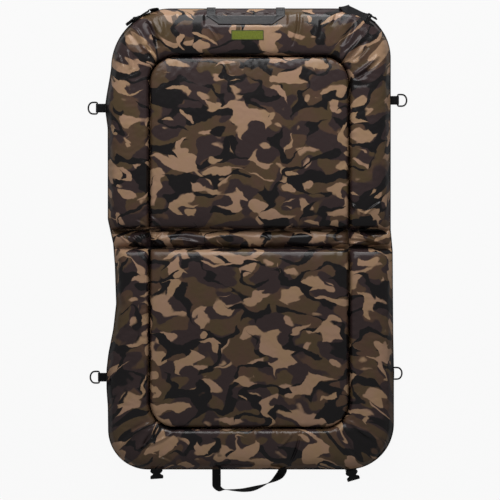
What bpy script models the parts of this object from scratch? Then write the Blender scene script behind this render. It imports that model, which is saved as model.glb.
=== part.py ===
"""Folding unhooking mat: a padded two-half mat with rings, handles and side-release straps.

The mat lies open with its fold along X through the origin and its underside on Z = 0.
The upper half runs towards +Y, the lower half towards -Y.
"""

from math import atan2, cos, pi, radians, sin, sqrt

import bmesh
import bpy
from mathutils import Matrix, Vector


# Outline of the opened mat
HALF_WIDTH = 0.327
HALF_LENGTH = 0.5305
CORNER_RADIUS_UPPER_LEFT = 0.138
CORNER_RADIUS_UPPER_RIGHT = 0.115
CORNER_RADIUS_LOWER_LEFT = 0.092
CORNER_RADIUS_LOWER_RIGHT = 0.106
CORNER_STEPS = 6
END_STEPS = 7

# How far the left side is drawn in and the right side spreads, along the half length
LEFT_TUCK = 0.0205
LEFT_PLACE_SHARES = (-0.83, -0.727, -0.65, -0.565, -0.496, -0.392, -0.281, -0.113,
                     -0.019, 0.085, 0.48, 0.569, 0.624, 0.703, 0.779)
LEFT_TUCK_SHARES = (0.10, 0.063, -0.083, -0.083, 0.13, 0.67, 1.0, 0.85,
                    0.66, 0.06, 0.05, -0.27, -0.07, 0.29, 0.585)
RIGHT_SPREAD = 0.0058
RIGHT_PLACE_SHARES = (-0.565, -0.417, -0.05, 0.04)
RIGHT_SPREAD_SHARES = (1.0, 0.76, 0.52, -0.26)

# Sewn groove round the centre panel
SIDE_RIM = 0.098
UPPER_RIM = 0.1125
LOWER_RIM = 0.0975
PANEL_HALF_WIDTH = HALF_WIDTH - SIDE_RIM
PANEL_END_UPPER = HALF_LENGTH - UPPER_RIM
PANEL_END_LOWER = HALF_LENGTH - LOWER_RIM
PANEL_RADIUS = 0.060

# Sheets, seam and fit
CLEARANCE = 0.0003
COVER_THICKNESS = 0.0015
BASE_THICKNESS = 0.0015
BINDING_THICKNESS = 0.0008
BINDING_LAP = 0.0026
FLANGE = 0.0038
SEAM_LIFT = 0.0105
EDGE_RUN = 0.038
EDGE_PLACE_SHARES = (0.0, 0.18, 0.44, 1.0)
EDGE_LIFT_SHARES = (1.0, 0.62, 0.27, 0.0)

# Padded rim, from the seam to the groove
RIM_CREST = 0.047
RIM_SHOULDER = 0.024
RIM_SHOULDER_SHARES = (0.25, 0.5, 1.0)
RIM_MIDDLE_SHARES = (0.42, 0.60)
GROOVE_SHOULDER = 0.021
GROOVE_SHOULDER_SHARES = (1.0, 0.333, 0.0)
RIM_HEIGHT_SHARES = (0.447, 0.638, 0.83, 0.979, 1.0, 0.915, 0.66)

# Padded centre panel, and the rise of both pads from the fold valleys
PANEL_CROWN = 0.0435
PANEL_SHOULDER = 0.075
PANEL_INSET_SHARES = (0.0, 0.0667, 0.187, 0.467, 1.0)
PLATEAU_RADIUS = 0.030
FOLD_SHOULDER = 0.080
FOLD_INSET_SHARES = (0.0, 0.1, 0.275, 0.5625, 1.0)
RISE_SHARES = (0.0, 0.66, 0.84, 0.94, 1.0)
FOLD_STEPS = 8
SIDE_SHARES = (0.17, 0.34, 0.50, 0.67, 0.84, 1.0)

# Fold band between the two valleys
FOLD_HALF = 0.021
BAND_CREST = 0.027
BAND_ROW_SHARES = (-1.0, -0.66, 0.0, 0.66, 1.0)
BAND_CROWN_SHARES = (0.0, 0.80, 1.0, 0.80, 0.0)
BAND_RIM_SHARES = (0.70, 0.85, 0.97, 1.0, 0.74)
BAND_PINCH_SHARE = 0.33
BAND_PANEL_SHARES = (0.74, 0.93, 1.0)

# Woven webbing
WEBBING_WIDTH = 0.020
WEBBING_THICKNESS = 0.0010
HANDLE_THICKNESS = 0.0015
LOOP_STEPS = 8
TAB_TUCK = 0.013

# Label sewn on the upper rim
LABEL_WIDTH = 0.0736
LABEL_HEIGHT = 0.0224
LABEL_X = -0.0041
LABEL_FROM_EDGE = 0.0555
LABEL_THICKNESS = 0.0008

# D-rings
RING_WIRE = 0.0038
RING_WIDTH = 0.0306
RING_DEPTH = 0.0248
RING_STEPS = 12
RING_SIDES = 8
RING_SQUARENESS = 0.75
RING_Y_UPPER_LEFT = 0.302
RING_Y_UPPER_RIGHT = 0.320
RING_Y_LOWER_LEFT = -0.319
RING_Y_LOWER_RIGHT = -0.310
RING_REACH_UPPER_LEFT = 0.0183
RING_REACH_UPPER_RIGHT = 0.0168
RING_REACH_LOWER_LEFT = 0.0175
RING_REACH_LOWER_RIGHT = -0.0015

# Handle at the upper end, folded over onto the rim
TOP_HANDLE_LEFT_X = -0.0876
TOP_HANDLE_RIGHT_X = 0.0714
TOP_HANDLE_REACH = 0.0211
TOP_HANDLE_LIFT = 0.0395
TOP_HANDLE_RISE = 0.0066
TOP_HANDLE_CUT = 0.0098

# Handle at the lower end, lying out on the ground with half a twist
LOW_HANDLE_LEFT_X = -0.0757
LOW_HANDLE_RIGHT_X = 0.0766
LOW_HANDLE_DROP = 0.0482
LOW_HANDLE_X_SHARES = (-1.0, -1.0, -1.0, -1.0, -0.99, -0.90, -0.745, -0.50,
                       -0.23, 0.01, 0.19, 0.40, 0.635, 0.795, 0.925, 1.0, 1.0)
LOW_HANDLE_DROP_SHARES = (-0.07, 0.06, 0.31, 0.56, 0.80, 0.945, 0.965, 0.99,
                          1.0, 0.96, 0.89, 0.77, 0.60, 0.435, 0.27, 0.06, -0.07)
LOW_HANDLE_LIFT_SHARES = (1.0, 0.96, 0.38, 0.05, 0.03, 0.0, 0.0, 0.0,
                          0.0, 0.0, 0.0, 0.0, 0.0, 0.0, 0.12, 0.96, 1.0)
LOW_HANDLE_TWIST_SHARES = (0.0, 0.0, 0.0, 0.0, 0.06, 0.25, 0.44, 0.40,
                           0.335, 0.29, 0.305, 0.39, 0.50, 0.66, 0.83, 1.0, 1.0)

# Side-release buckles
BUCKLE_BAR = 0.0022
BUCKLE_SLOT = 0.0025
FRAME_WIDTH = 0.0266
FEMALE_LENGTH = 0.0275
FEMALE_WIDTH = 0.0295
FEMALE_WAIST = 0.0172
FEMALE_THICKNESS = 0.0078
SOCKET_HEIGHT = 0.0050
SOCKET_WIDTH = 0.0252
SOCKET_DEPTH = 0.0180
MALE_LENGTH = 0.0238
MALE_THICKNESS = 0.0032
MALE_FRAME = 0.0095
PRONG_WIDTH = 0.0034
PRONG_SPREAD = 0.0114
GUIDE_WIDTH = 0.0040
PRONG_LENGTH_SHARES = (0.0, 0.45, 0.5, 0.62, 1.0, 1.0, 0.7, 0.04, 0.0)
PRONG_OUT_SHARES = (0.0, 0.0, 0.35, 0.35, -0.5, -1.0, -1.1, -1.0, -1.3)
GUIDE_LENGTH_SHARES = (0.0, 0.86, 0.95)
GUIDE_WIDTH_SHARES = (1.0, 0.9, 0.5)
CUT_OVERRUN = 0.004
FEMALE_LEFT_FROM_SIDE = 0.1120
FEMALE_RIGHT_FROM_SIDE = 0.0935
FEMALE_LEFT_REACH = -0.0050
FEMALE_RIGHT_REACH = -0.0005
FEMALE_LEFT_TURN = radians(4)
FEMALE_RIGHT_TURN = radians(16)
FEMALE_LENGTH_SHARES = (0.0, 0.145, 0.17, 0.30, 0.42, 0.50, 0.585, 0.66, 0.71, 0.785, 0.95, 1.0)
FEMALE_WIDTH_SHARES = (0.86, 0.86, 0.95, 0.95, 0.78, 0.583, 0.583, 0.78, 0.95, 1.0, 1.0, 0.93)

# Strap over the upper right corner
STRAP_RIGHT_FROM_SIDE = 0.111
STRAP_RIGHT_RUN = 0.050
STRAP_RIGHT_HEADING = radians(-24.8)
STRAP_RIGHT_ROLL = radians(15)
STRAP_RIGHT_START_SIDE = 0.0065
STRAP_RIGHT_START_INSET = 0.0050
STRAP_RIGHT_START_LIFT = 0.0345
STRAP_RIGHT_END_LIFT = 0.0380
STRAP_RIGHT_OUTSIDE = 0.0028
STRAP_CLIMB_SIDE_SHARES = (0.03, 0.12)
STRAP_CLIMB_OUT_SHARES = (1.0, 0.7)
STRAP_CLIMB_LIFT_SHARES = (0.5, 0.84)
STRAP_CREASE_SHARES = (0.93, 0.36, 0.0)
STRAP_BEND_SHARES = (0.68, 0.71, -0.12)
STRAP_FLAT_SHARE = 0.16
MALE_RIGHT_PITCH = radians(10)
STRAP_LAP = 0.012

# Strap on edge round the upper left corner
STRAP_LEFT_START = radians(105.7)
STRAP_LEFT_RUN = 0.050
STRAP_LEFT_STEPS = 6
STRAP_LEFT_OUTSIDE = 0.0030
STRAP_ROOT_OUT_SHARES = (0.35, 0.78, 1.0)
STRAP_ROOT_RISE = 0.0022
STRAP_ROOT_RISE_SHARES = (0.0, 0.16, 0.58)
STRAP_ROOT_INSIDE = 0.0012
STRAP_ROOT_STEPS = 6


def read_curve(places, values, at):
    """Straight-line reading of values against rising places, held level past both ends."""
    if at <= places[0]:
        return values[0]
    for low in range(len(places) - 1):
        if at <= places[low + 1]:
            share = (at - places[low]) / (places[low + 1] - places[low])
            return values[low] + (values[low + 1] - values[low]) * share
    return values[-1]


def make_material(name, colour, roughness, metallic=0.0):
    """One Principled material of a plain colour."""
    material = bpy.data.materials.new(name)
    material.use_nodes = True
    shader = material.node_tree.nodes["Principled BSDF"]
    shader.inputs["Base Color"].default_value = (*colour, 1.0)
    shader.inputs["Roughness"].default_value = roughness
    shader.inputs["Metallic"].default_value = metallic
    material.diffuse_color = (*colour, 1.0)
    return material


def make_object(name, points, faces, look, pivot=None):
    """Closed body with outward faces, its origin on the given pivot."""
    origin = Vector(pivot) if pivot is not None else Vector()
    mesh = bpy.data.meshes.new(name)
    mesh.from_pydata([Vector(point) - origin for point in points], [], faces)
    shape = bmesh.new()
    shape.from_mesh(mesh)
    bmesh.ops.recalc_face_normals(shape, faces=shape.faces)
    if shape.calc_volume(signed=True) < 0:
        bmesh.ops.reverse_faces(shape, faces=shape.faces)
    shape.to_mesh(mesh)
    shape.free()
    body = bpy.data.objects.new(name, mesh)
    body.location = origin
    colour, roughness, metallic = look
    mesh.materials.append(make_material(name + "_finish", colour, roughness, metallic))
    bpy.context.scene.collection.objects.link(body)
    return body


def loft(sections, closed=False):
    """Points and faces of a body through equal-sized closed sections, capped unless closed."""
    count = len(sections[0])
    points = [point for section in sections for point in section]
    faces = []
    spans = len(sections) if closed else len(sections) - 1
    for row in range(spans):
        here = row * count
        there = ((row + 1) % len(sections)) * count
        for column in range(count):
            beside = (column + 1) % count
            faces.append((here + column, here + beside, there + beside, there + column))
    if not closed:
        faces.append(tuple(range(count)))
        faces.append(tuple(range(len(points) - count, len(points))))
    return points, faces


def thick_sheet(top, under, faces):
    """Close a top surface and its underside with walls along their open edge."""
    count = len(top)
    directed = set()
    for face in faces:
        for corner, index in enumerate(face):
            directed.add((index, face[(corner + 1) % len(face)]))
    walls = [(b, a, a + count, b + count) for a, b in directed if (b, a) not in directed]
    walls.sort()
    undersides = [tuple(index + count for index in face[:1] + face[:0:-1]) for face in faces]
    return list(top) + list(under), list(faces) + undersides + walls


def offset_down(top, faces, depth, pinned=()):
    """Every point moved inward along its surface normal, and straight down where pinned."""
    normals = [[] for _ in top]
    for face in faces:
        if len(face) > 4:
            normal = Vector((0, 0, 1))
        else:
            first = top[face[2]] - top[face[0]]
            second = top[face[-1]] - top[face[1]]
            normal = first.cross(second).normalized()
        if normal.z < 0:
            normal = -normal
        for index in face:
            normals[index].append(normal)
    moved = []
    for index, point in enumerate(top):
        if index in pinned:
            moved.append(point - Vector((0, 0, depth)))
            continue
        mean = sum(normals[index], Vector()).normalized()
        tightest = min(mean.dot(normal) for normal in normals[index])
        moved.append(point - mean * depth / max(tightest, 0.77))
    return moved


def webbing(places, acrosses, thickness):
    """Flat strip along places, with half its width across and its thickness at right angles."""
    sections = []
    for index, place in enumerate(places):
        before = places[max(index - 1, 0)]
        after = places[min(index + 1, len(places) - 1)]
        arriving = (place - before).normalized() if index > 0 else (after - place).normalized()
        leaving = (after - place).normalized() if index < len(places) - 1 else arriving
        along = (arriving + leaving).normalized()
        across = acrosses[index]
        normal = along.cross(across).normalized()
        half = 0.5 * thickness / max(along.dot(leaving), 0.6)
        sections.append((place - across - normal * half, place + across - normal * half,
                         place + across + normal * half, place - across + normal * half))
    points, faces = loft(sections)
    split = []
    for index, face in enumerate(faces[:-2]):
        a, b, c, d = face if index % 4 == 0 else face[1:] + face[:1]
        split += [(a, b, c), (a, c, d)]
    return points, split + faces[-2:]


# Places on the mat that every piece shares
VALLEY = FOLD_HALF + 0.5 * CLEARANCE
BASE_TOP = BASE_THICKNESS
GROOVE_TOP = BASE_THICKNESS + CLEARANCE + COVER_THICKNESS
SEAM_TOP = SEAM_LIFT + GROOVE_TOP
EDGE_INSET = BINDING_THICKNESS + CLEARANCE
BINDING_UNDER = SEAM_LIFT - CLEARANCE - BINDING_THICKNESS
EDGE_PLACES = [FLANGE + (EDGE_RUN - FLANGE) * share for share in EDGE_PLACE_SHARES]
EDGE_LIFTS = [SEAM_LIFT * share for share in EDGE_LIFT_SHARES]
PANEL_RISES = [PANEL_SHOULDER * share for share in PANEL_INSET_SHARES]
FOLD_RISES = [FOLD_SHOULDER * share for share in FOLD_INSET_SHARES]
CORNER_RADII = {(1, -1): CORNER_RADIUS_UPPER_LEFT, (1, 1): CORNER_RADIUS_UPPER_RIGHT,
                (-1, -1): CORNER_RADIUS_LOWER_LEFT, (-1, 1): CORNER_RADIUS_LOWER_RIGHT}
PANEL_ENDS = {1: PANEL_END_UPPER, -1: PANEL_END_LOWER}


def side_x(side, y):
    """Outline of one side of the mat at a height y."""
    place = y / HALF_LENGTH
    if side < 0:
        drawn = LEFT_TUCK * read_curve(LEFT_PLACE_SHARES, LEFT_TUCK_SHARES, place)
        return drawn - HALF_WIDTH
    return HALF_WIDTH + RIGHT_SPREAD * read_curve(RIGHT_PLACE_SHARES, RIGHT_SPREAD_SHARES, place)


def corner_centre(half, side):
    """Centre of the outline's corner arc, as x and distance from the fold."""
    radius = CORNER_RADII[(half, side)]
    start = HALF_LENGTH - radius
    return side_x(side, half * start) - side * radius, start


def edge_lift(inset):
    """Height of the base sheet's underside at a distance in from the seam."""
    return read_curve(EDGE_PLACES, EDGE_LIFTS, inset)


def mat_stations(half):
    """Outline, groove and plateau points, from the left end of the fold round to the right."""
    groove_end = PANEL_ENDS[half]
    straight_end = groove_end - PANEL_RADIUS
    plateau_side = PANEL_HALF_WIDTH - PANEL_SHOULDER
    plateau_end = groove_end - PANEL_SHOULDER
    plateau_straight = plateau_end - PLATEAU_RADIUS

    def plateau_y(groove_y):
        """The plateau runs shorter than the groove beside it."""
        share = (groove_y - VALLEY) / (straight_end - VALLEY)
        return VALLEY + FOLD_SHOULDER + (plateau_straight - VALLEY - FOLD_SHOULDER) * share

    def side_run(side):
        """Stations up one straight side and round its corner."""
        radius = CORNER_RADII[(half, side)]
        centre_x, centre_y = corner_centre(half, side)
        run = []
        for rise in FOLD_RISES:
            y = VALLEY + rise
            run.append((side_x(side, half * y), y, side * PANEL_HALF_WIDTH, y,
                        side * plateau_side, plateau_y(y), True))
        last = VALLEY + FOLD_SHOULDER
        for share in SIDE_SHARES:
            y = last + (centre_y - last) * share
            groove_y = last + (straight_end - last) * share
            run.append((side_x(side, half * y), y, side * PANEL_HALF_WIDTH, groove_y,
                        side * plateau_side, plateau_y(groove_y), True))
        for step in range(1, CORNER_STEPS):
            angle = 0.5 * pi * step / CORNER_STEPS
            out = side * cos(angle)
            up = sin(angle)
            groove_x = side * (PANEL_HALF_WIDTH - PANEL_RADIUS)
            plateau_x = side * (plateau_side - PLATEAU_RADIUS)
            run.append((centre_x + radius * out, centre_y + radius * up,
                        groove_x + PANEL_RADIUS * out, straight_end + PANEL_RADIUS * up,
                        plateau_x + PLATEAU_RADIUS * out,
                        plateau_straight + PLATEAU_RADIUS * up, False))
        return run

    left_x = corner_centre(half, -1)[0]
    right_x = corner_centre(half, 1)[0]
    groove_half = PANEL_HALF_WIDTH - PANEL_RADIUS
    plateau_half = plateau_side - PLATEAU_RADIUS
    end_run = []
    for step in range(END_STEPS + 1):
        share = step / END_STEPS
        end_run.append((left_x + (right_x - left_x) * share, HALF_LENGTH,
                        groove_half * (2 * share - 1), groove_end,
                        plateau_half * (2 * share - 1), plateau_end, False))
    stations = []
    for row in side_run(-1) + end_run + side_run(1)[::-1]:
        outer = Vector((row[0], half * row[1], 0))
        groove = Vector((row[2], half * row[3], 0))
        plateau = Vector((row[4], half * row[5], 0))
        stations.append((outer, groove, plateau, row[6]))
    return stations


def base_under(half, point):
    """Height of the base sheet's underside over a point near the seam."""
    stations = mat_stations(half)
    for (outer, groove, _, _), (beside, groove_beside, _, _) in zip(stations, stations[1:]):
        inward = (groove - outer).normalized()
        inward_beside = (groove_beside - beside).normalized()

        def aside(share):
            """How far the point lies to one side of a row, and how far in along it."""
            along = inward.lerp(inward_beside, share)
            offset = point - outer.lerp(beside, share)
            return along.x * offset.y - along.y * offset.x, along.x * offset.x + along.y * offset.y

        low, high = 0.0, 1.0
        if aside(low)[0] * aside(high)[0] > 0:
            continue
        for _ in range(20):
            middle = 0.5 * (low + high)
            if aside(low)[0] * aside(middle)[0] > 0:
                low = middle
            else:
                high = middle
        inset = aside(low)[1]
        if 0 <= inset <= EDGE_RUN:
            return edge_lift(inset)
    return 0.0


def rim_places(length):
    """Distances of the rim's rings from the seam towards the groove."""
    return ([EDGE_INSET, FLANGE]
            + [RIM_SHOULDER * share for share in RIM_SHOULDER_SHARES]
            + [length * share for share in RIM_MIDDLE_SHARES]
            + [length - GROOVE_SHOULDER * share for share in GROOVE_SHOULDER_SHARES])


def rim_heights():
    """Heights of the rim's rings, away from the fold."""
    return ([SEAM_TOP, SEAM_TOP] + [RIM_CREST * share for share in RIM_HEIGHT_SHARES]
            + [GROOVE_TOP])


def rim_height(inset):
    """Height of the cover at a distance in from the end seam of the upper half."""
    return read_curve(rim_places(HALF_LENGTH - PANEL_END_UPPER), rim_heights(), inset)


def fold_rise(y):
    """Share of its full height that a pad has at a distance from the fold axis."""
    return read_curve(FOLD_RISES, RISE_SHARES, abs(y) - VALLEY)


def cover_surface(half):
    """Outside of one half's cover: points, faces, pinned points and the rings of points."""
    stations = mat_stations(half)
    points = []
    rim = []
    for outer, groove, _, _ in stations:
        length = (groove - outer).length
        ring = []
        for inset, height in zip(rim_places(length), rim_heights()):
            place = outer.lerp(groove, inset / length)
            lowest = edge_lift(inset) + GROOVE_TOP
            place.z = lowest + (height - lowest) * fold_rise(place.y)
            ring.append(len(points))
            points.append(place)
        rim.append(ring)
    loops = [[ring[-1] for ring in rim]]
    fold_places = []
    for step in range(1, FOLD_STEPS):
        share = 1 - 2 * step / FOLD_STEPS
        groove = Vector((PANEL_HALF_WIDTH * share, half * VALLEY, 0))
        plateau_x = (PANEL_HALF_WIDTH - PANEL_SHOULDER) * share
        plateau = Vector((plateau_x, half * (VALLEY + FOLD_SHOULDER), 0))
        fold_places.append((groove, plateau))
        loops[0].append(len(points))
        points.append(Vector((groove.x, groove.y, GROOVE_TOP)))
    for level in range(1, len(PANEL_RISES)):
        side_share = PANEL_INSET_SHARES[level]
        fold_share = FOLD_INSET_SHARES[level]
        loop = []
        for _, groove, plateau, straight in stations:
            x = groove.x + (plateau.x - groove.x) * side_share
            y = groove.y + (plateau.y - groove.y) * (fold_share if straight else side_share)
            rise = RISE_SHARES[level] * fold_rise(y)
            loop.append(len(points))
            points.append(Vector((x, y, GROOVE_TOP + (PANEL_CROWN - GROOVE_TOP) * rise)))
        for groove, plateau in fold_places:
            place = groove.lerp(plateau, fold_share)
            from_side = PANEL_HALF_WIDTH - abs(place.x)
            rise = read_curve(PANEL_RISES, RISE_SHARES, from_side) * RISE_SHARES[level]
            loop.append(len(points))
            points.append(Vector((place.x, place.y,
                                  GROOVE_TOP + (PANEL_CROWN - GROOVE_TOP) * rise)))
        loops.append(loop)
    faces = []
    for here, there in zip(rim, rim[1:]):
        for column in range(len(here) - 1):
            faces.append((here[column], here[column + 1], there[column + 1], there[column]))
    for here, there in zip(loops, loops[1:]):
        for column in range(len(here)):
            beside = (column + 1) % len(here)
            faces.append((here[column], there[column], there[beside], here[beside]))
    faces.append(tuple(reversed(loops[-1])))
    pinned = set(rim[0]) | set(rim[-1]) | set(loops[0])
    return points, faces, pinned, rim, loops


def base_sheet(rows):
    """Base sheet whose rows run in from the seam, closed by one flat face."""
    top = []
    grid = []
    for outer, inward in rows:
        line = []
        for inset in [EDGE_INSET] + EDGE_PLACES:
            place = outer + inward * inset
            line.append(len(top))
            top.append(Vector((place.x, place.y, edge_lift(inset) + BASE_THICKNESS)))
        grid.append(line)
    faces = []
    for here, there in zip(grid, grid[1:]):
        for column in range(len(here) - 1):
            faces.append((here[column], here[column + 1], there[column + 1], there[column]))
    faces.append(tuple(line[-1] for line in reversed(grid)))
    return top, faces


def stack_profile(bar_radius, thickness, length):
    """Folded webbing round a bar, as distances out along the tab and up from its middle."""
    radius = bar_radius + 0.5 * thickness
    apart = 0.5 * (thickness + CLEARANCE)
    start = radians(118)
    path = [(-length, apart), (-2.3 * radius, apart)]
    for step in range(LOOP_STEPS + 1):
        angle = start - 2 * start * step / LOOP_STEPS
        path.append((radius * cos(angle), radius * sin(angle)))
    path += [(-2.3 * radius, -apart), (-length, -apart)]
    return path


def tab_end_z(half, end, across):
    """Height of the middle of a folded tab whose sewn end lies just under the base sheet."""
    lowest = min(base_under(half, end + across * share) for share in (-1, -0.5, 0, 0.5, 1))
    return lowest - CLEARANCE - WEBBING_THICKNESS - 0.5 * CLEARANCE


def folded_tab(bar, end, across, bar_radius, thickness):
    """Points and faces of a folded tab from its sewn end to the bar that it holds."""
    out = (bar - end).normalized()
    normal = out.cross(across.normalized())
    if normal.z < 0:
        normal = -normal
    profile = stack_profile(bar_radius, thickness, (bar - end).length)
    places = [bar + out * u + normal * w for u, w in profile]
    return webbing(places, [across] * len(places), thickness)


# Looks: colour, roughness and metallic share of each kind of surface
CAMOUFLAGE = ((0.068, 0.048, 0.033), 0.38, 0.0)
BLACK_SHEET = ((0.012, 0.012, 0.013), 0.45, 0.0)
BLACK_WEBBING = ((0.010, 0.010, 0.011), 0.75, 0.0)
BLACK_PLASTIC = ((0.012, 0.012, 0.013), 0.35, 0.0)
BLACK_WIRE = ((0.015, 0.015, 0.016), 0.30, 0.6)
PALE_FOAM = ((0.55, 0.54, 0.50), 0.95, 0.0)
WOVEN_LABEL = ((0.16, 0.19, 0.02), 0.70, 0.0)

# Start from an empty scene
for leftover in list(bpy.data.objects):
    bpy.data.objects.remove(leftover, do_unlink=True)


# The two padded halves: cover, base, foam pads and edge binding
FOAM_DEPTH = COVER_THICKNESS + 4 * CLEARANCE
HALF_NAMES = {1: "upper", -1: "lower"}
for half, half_name in HALF_NAMES.items():
    points, faces, pinned, rim, loops = cover_surface(half)
    under = offset_down(points, faces, COVER_THICKNESS, pinned)
    make_object("cover_" + half_name, *thick_sheet(points, under, faces), CAMOUFLAGE)

    # Foam slab under the centre panel
    foam_top = offset_down(points, faces, FOAM_DEPTH, pinned)
    floor_z = BASE_TOP + CLEARANCE
    slab = [[Vector((foam_top[index].x, foam_top[index].y, floor_z)) for index in loops[1]]]
    slab += [[foam_top[index] for index in loop] for loop in loops[1:]]
    make_object("foam_centre_" + half_name, *loft(slab), PALE_FOAM)

    # Foam strip inside the rim, from one end of the fold round to the other
    stations = mat_stations(half)
    strip = []
    for (outer, groove, _, _), ring in list(zip(stations, rim))[1:-1]:
        inward = (groove - outer).normalized()
        crest = [foam_top[ring[column]] for column in (2, 3, 4, 6, 8)]
        inner_foot = Vector((crest[-1].x, crest[-1].y, floor_z))
        feet = [inner_foot]
        for inset in (EDGE_PLACES[3], EDGE_PLACES[2]):
            place = outer + inward * inset
            feet.append(Vector((place.x, crest[0].y + place.y - outer.y
                                - inward.y * (crest[0] - outer).dot(inward),
                                edge_lift(inset) + floor_z)))
        outer_inset = (crest[0] - outer).to_2d().length
        feet.append(Vector((crest[0].x, crest[0].y, edge_lift(outer_inset) + floor_z)))
        strip.append(crest + feet)
    make_object("foam_rim_" + half_name, *loft(strip), PALE_FOAM)

    # Base sheet, flat on the ground and curved up to the seam
    rows = [(outer, (groove - outer).normalized()) for outer, groove, _, _ in stations]
    top, faces = base_sheet(rows)
    under = [point - Vector((0, 0, BASE_THICKNESS)) for point in top]
    make_object("base_" + half_name, *thick_sheet(top, under, faces), BLACK_SHEET)

    # Binding tape folded round the seam; the upper one also passes the fold band's ends
    if half > 0:
        for side in (-1, 1):
            extra = []
            for share in BAND_ROW_SHARES[:-1]:
                y = (FOLD_HALF - 0.5 * CLEARANCE) * share
                extra.append((Vector((side_x(side, y), y, 0)), Vector((-side, 0, 0))))
            rows = extra + rows if side < 0 else rows + extra[::-1]
    tape = []
    for outer, inward in rows:
        profile = ((BINDING_LAP, BINDING_UNDER), (BINDING_LAP, SEAM_LIFT - CLEARANCE),
                   (BINDING_THICKNESS, SEAM_LIFT - CLEARANCE),
                   (BINDING_THICKNESS, SEAM_TOP + CLEARANCE),
                   (BINDING_LAP, SEAM_TOP + CLEARANCE),
                   (BINDING_LAP, SEAM_TOP + CLEARANCE + BINDING_THICKNESS),
                   (0.0, SEAM_TOP + CLEARANCE + BINDING_THICKNESS), (0.0, BINDING_UNDER))
        tape.append([outer + inward * inset + Vector((0, 0, z)) for inset, z in profile])
    make_object("edge_binding_" + half_name, *loft(tape), BLACK_WEBBING)


# Slack cover band over the fold, pinched where the groove stitching crosses it
band_reach = FOLD_HALF - 0.5 * CLEARANCE
band_top = []
band_grid = []
for row_share, crown in zip(BAND_ROW_SHARES, BAND_CROWN_SHARES):
    y = band_reach * row_share
    columns = []
    for side in (-1, 1):
        edge = side_x(side, y)
        width = abs(edge) - PANEL_HALF_WIDTH
        insets = [EDGE_INSET, FLANGE, RIM_SHOULDER * RIM_SHOULDER_SHARES[0],
                  RIM_SHOULDER * RIM_SHOULDER_SHARES[1], RIM_MIDDLE_SHARES[0] * width,
                  width - GROOVE_SHOULDER, width - GROOVE_SHOULDER * GROOVE_SHOULDER_SHARES[1]]
        run = []
        for place, inset in enumerate(insets):
            share = BAND_RIM_SHARES[place - 2] if place > 1 else None
            height = BAND_CREST * share if share else SEAM_TOP
            run.append((edge - side * inset, edge_lift(inset) + GROOVE_TOP, height))
        run.append((side * PANEL_HALF_WIDTH, GROOVE_TOP, BAND_CREST * BAND_PINCH_SHARE))
        for level, share in enumerate(BAND_PANEL_SHARES):
            run.append((side * (PANEL_HALF_WIDTH - PANEL_RISES[level + 1]), GROOVE_TOP,
                        BAND_CREST * share))
        columns += run if side < 0 else [(0.0, GROOVE_TOP, BAND_CREST)] + run[::-1]
    line = []
    for x, lowest, height in columns:
        line.append(len(band_top))
        band_top.append(Vector((x, y, lowest + (height - lowest) * crown)))
    band_grid.append(line)
band_faces = []
for here, there in zip(band_grid, band_grid[1:]):
    for column in range(len(here) - 1):
        band_faces.append((here[column], here[column + 1], there[column + 1], there[column]))
band_under = offset_down(band_top, band_faces, COVER_THICKNESS,
                         set(band_grid[0]) | set(band_grid[-1]))
make_object("fold_band", *thick_sheet(band_top, band_under, band_faces), CAMOUFLAGE)

# Base strip under the fold, between the two base sheets
strip_top = []
strip_lines = []
for row_share in BAND_ROW_SHARES:
    y = band_reach * row_share
    line = []
    for side in (-1, 1):
        run = []
        for inset in [EDGE_INSET] + EDGE_PLACES:
            run.append(len(strip_top))
            strip_top.append(Vector((side_x(side, y) - side * inset, y,
                                     edge_lift(inset) + BASE_THICKNESS)))
        line += run if side < 0 else run[::-1]
    strip_lines.append(line)
strip_faces = []
for here, there in zip(strip_lines, strip_lines[1:]):
    for column in range(len(here) - 1):
        strip_faces.append((here[column], here[column + 1], there[column + 1], there[column]))
strip_under = [point - Vector((0, 0, BASE_THICKNESS)) for point in strip_top]
make_object("fold_base", *thick_sheet(strip_top, strip_under, strip_faces), BLACK_SHEET)


# Woven label on the upper rim, bent over its crest and left plain
crest_inset = (HALF_LENGTH - PANEL_END_UPPER) * RIM_MIDDLE_SHARES[1]
label_under = []
for inset in (LABEL_FROM_EDGE, crest_inset, LABEL_FROM_EDGE + LABEL_HEIGHT):
    for side in (-1, 1):
        label_under.append(Vector((LABEL_X + side * 0.5 * LABEL_WIDTH, HALF_LENGTH - inset,
                                   rim_height(inset) + CLEARANCE)))
label_top = [point + Vector((0, 0, LABEL_THICKNESS)) for point in label_under]
make_object("label", *thick_sheet(label_top, label_under, [(0, 1, 3, 2), (2, 3, 5, 4)]),
            WOVEN_LABEL)


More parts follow.
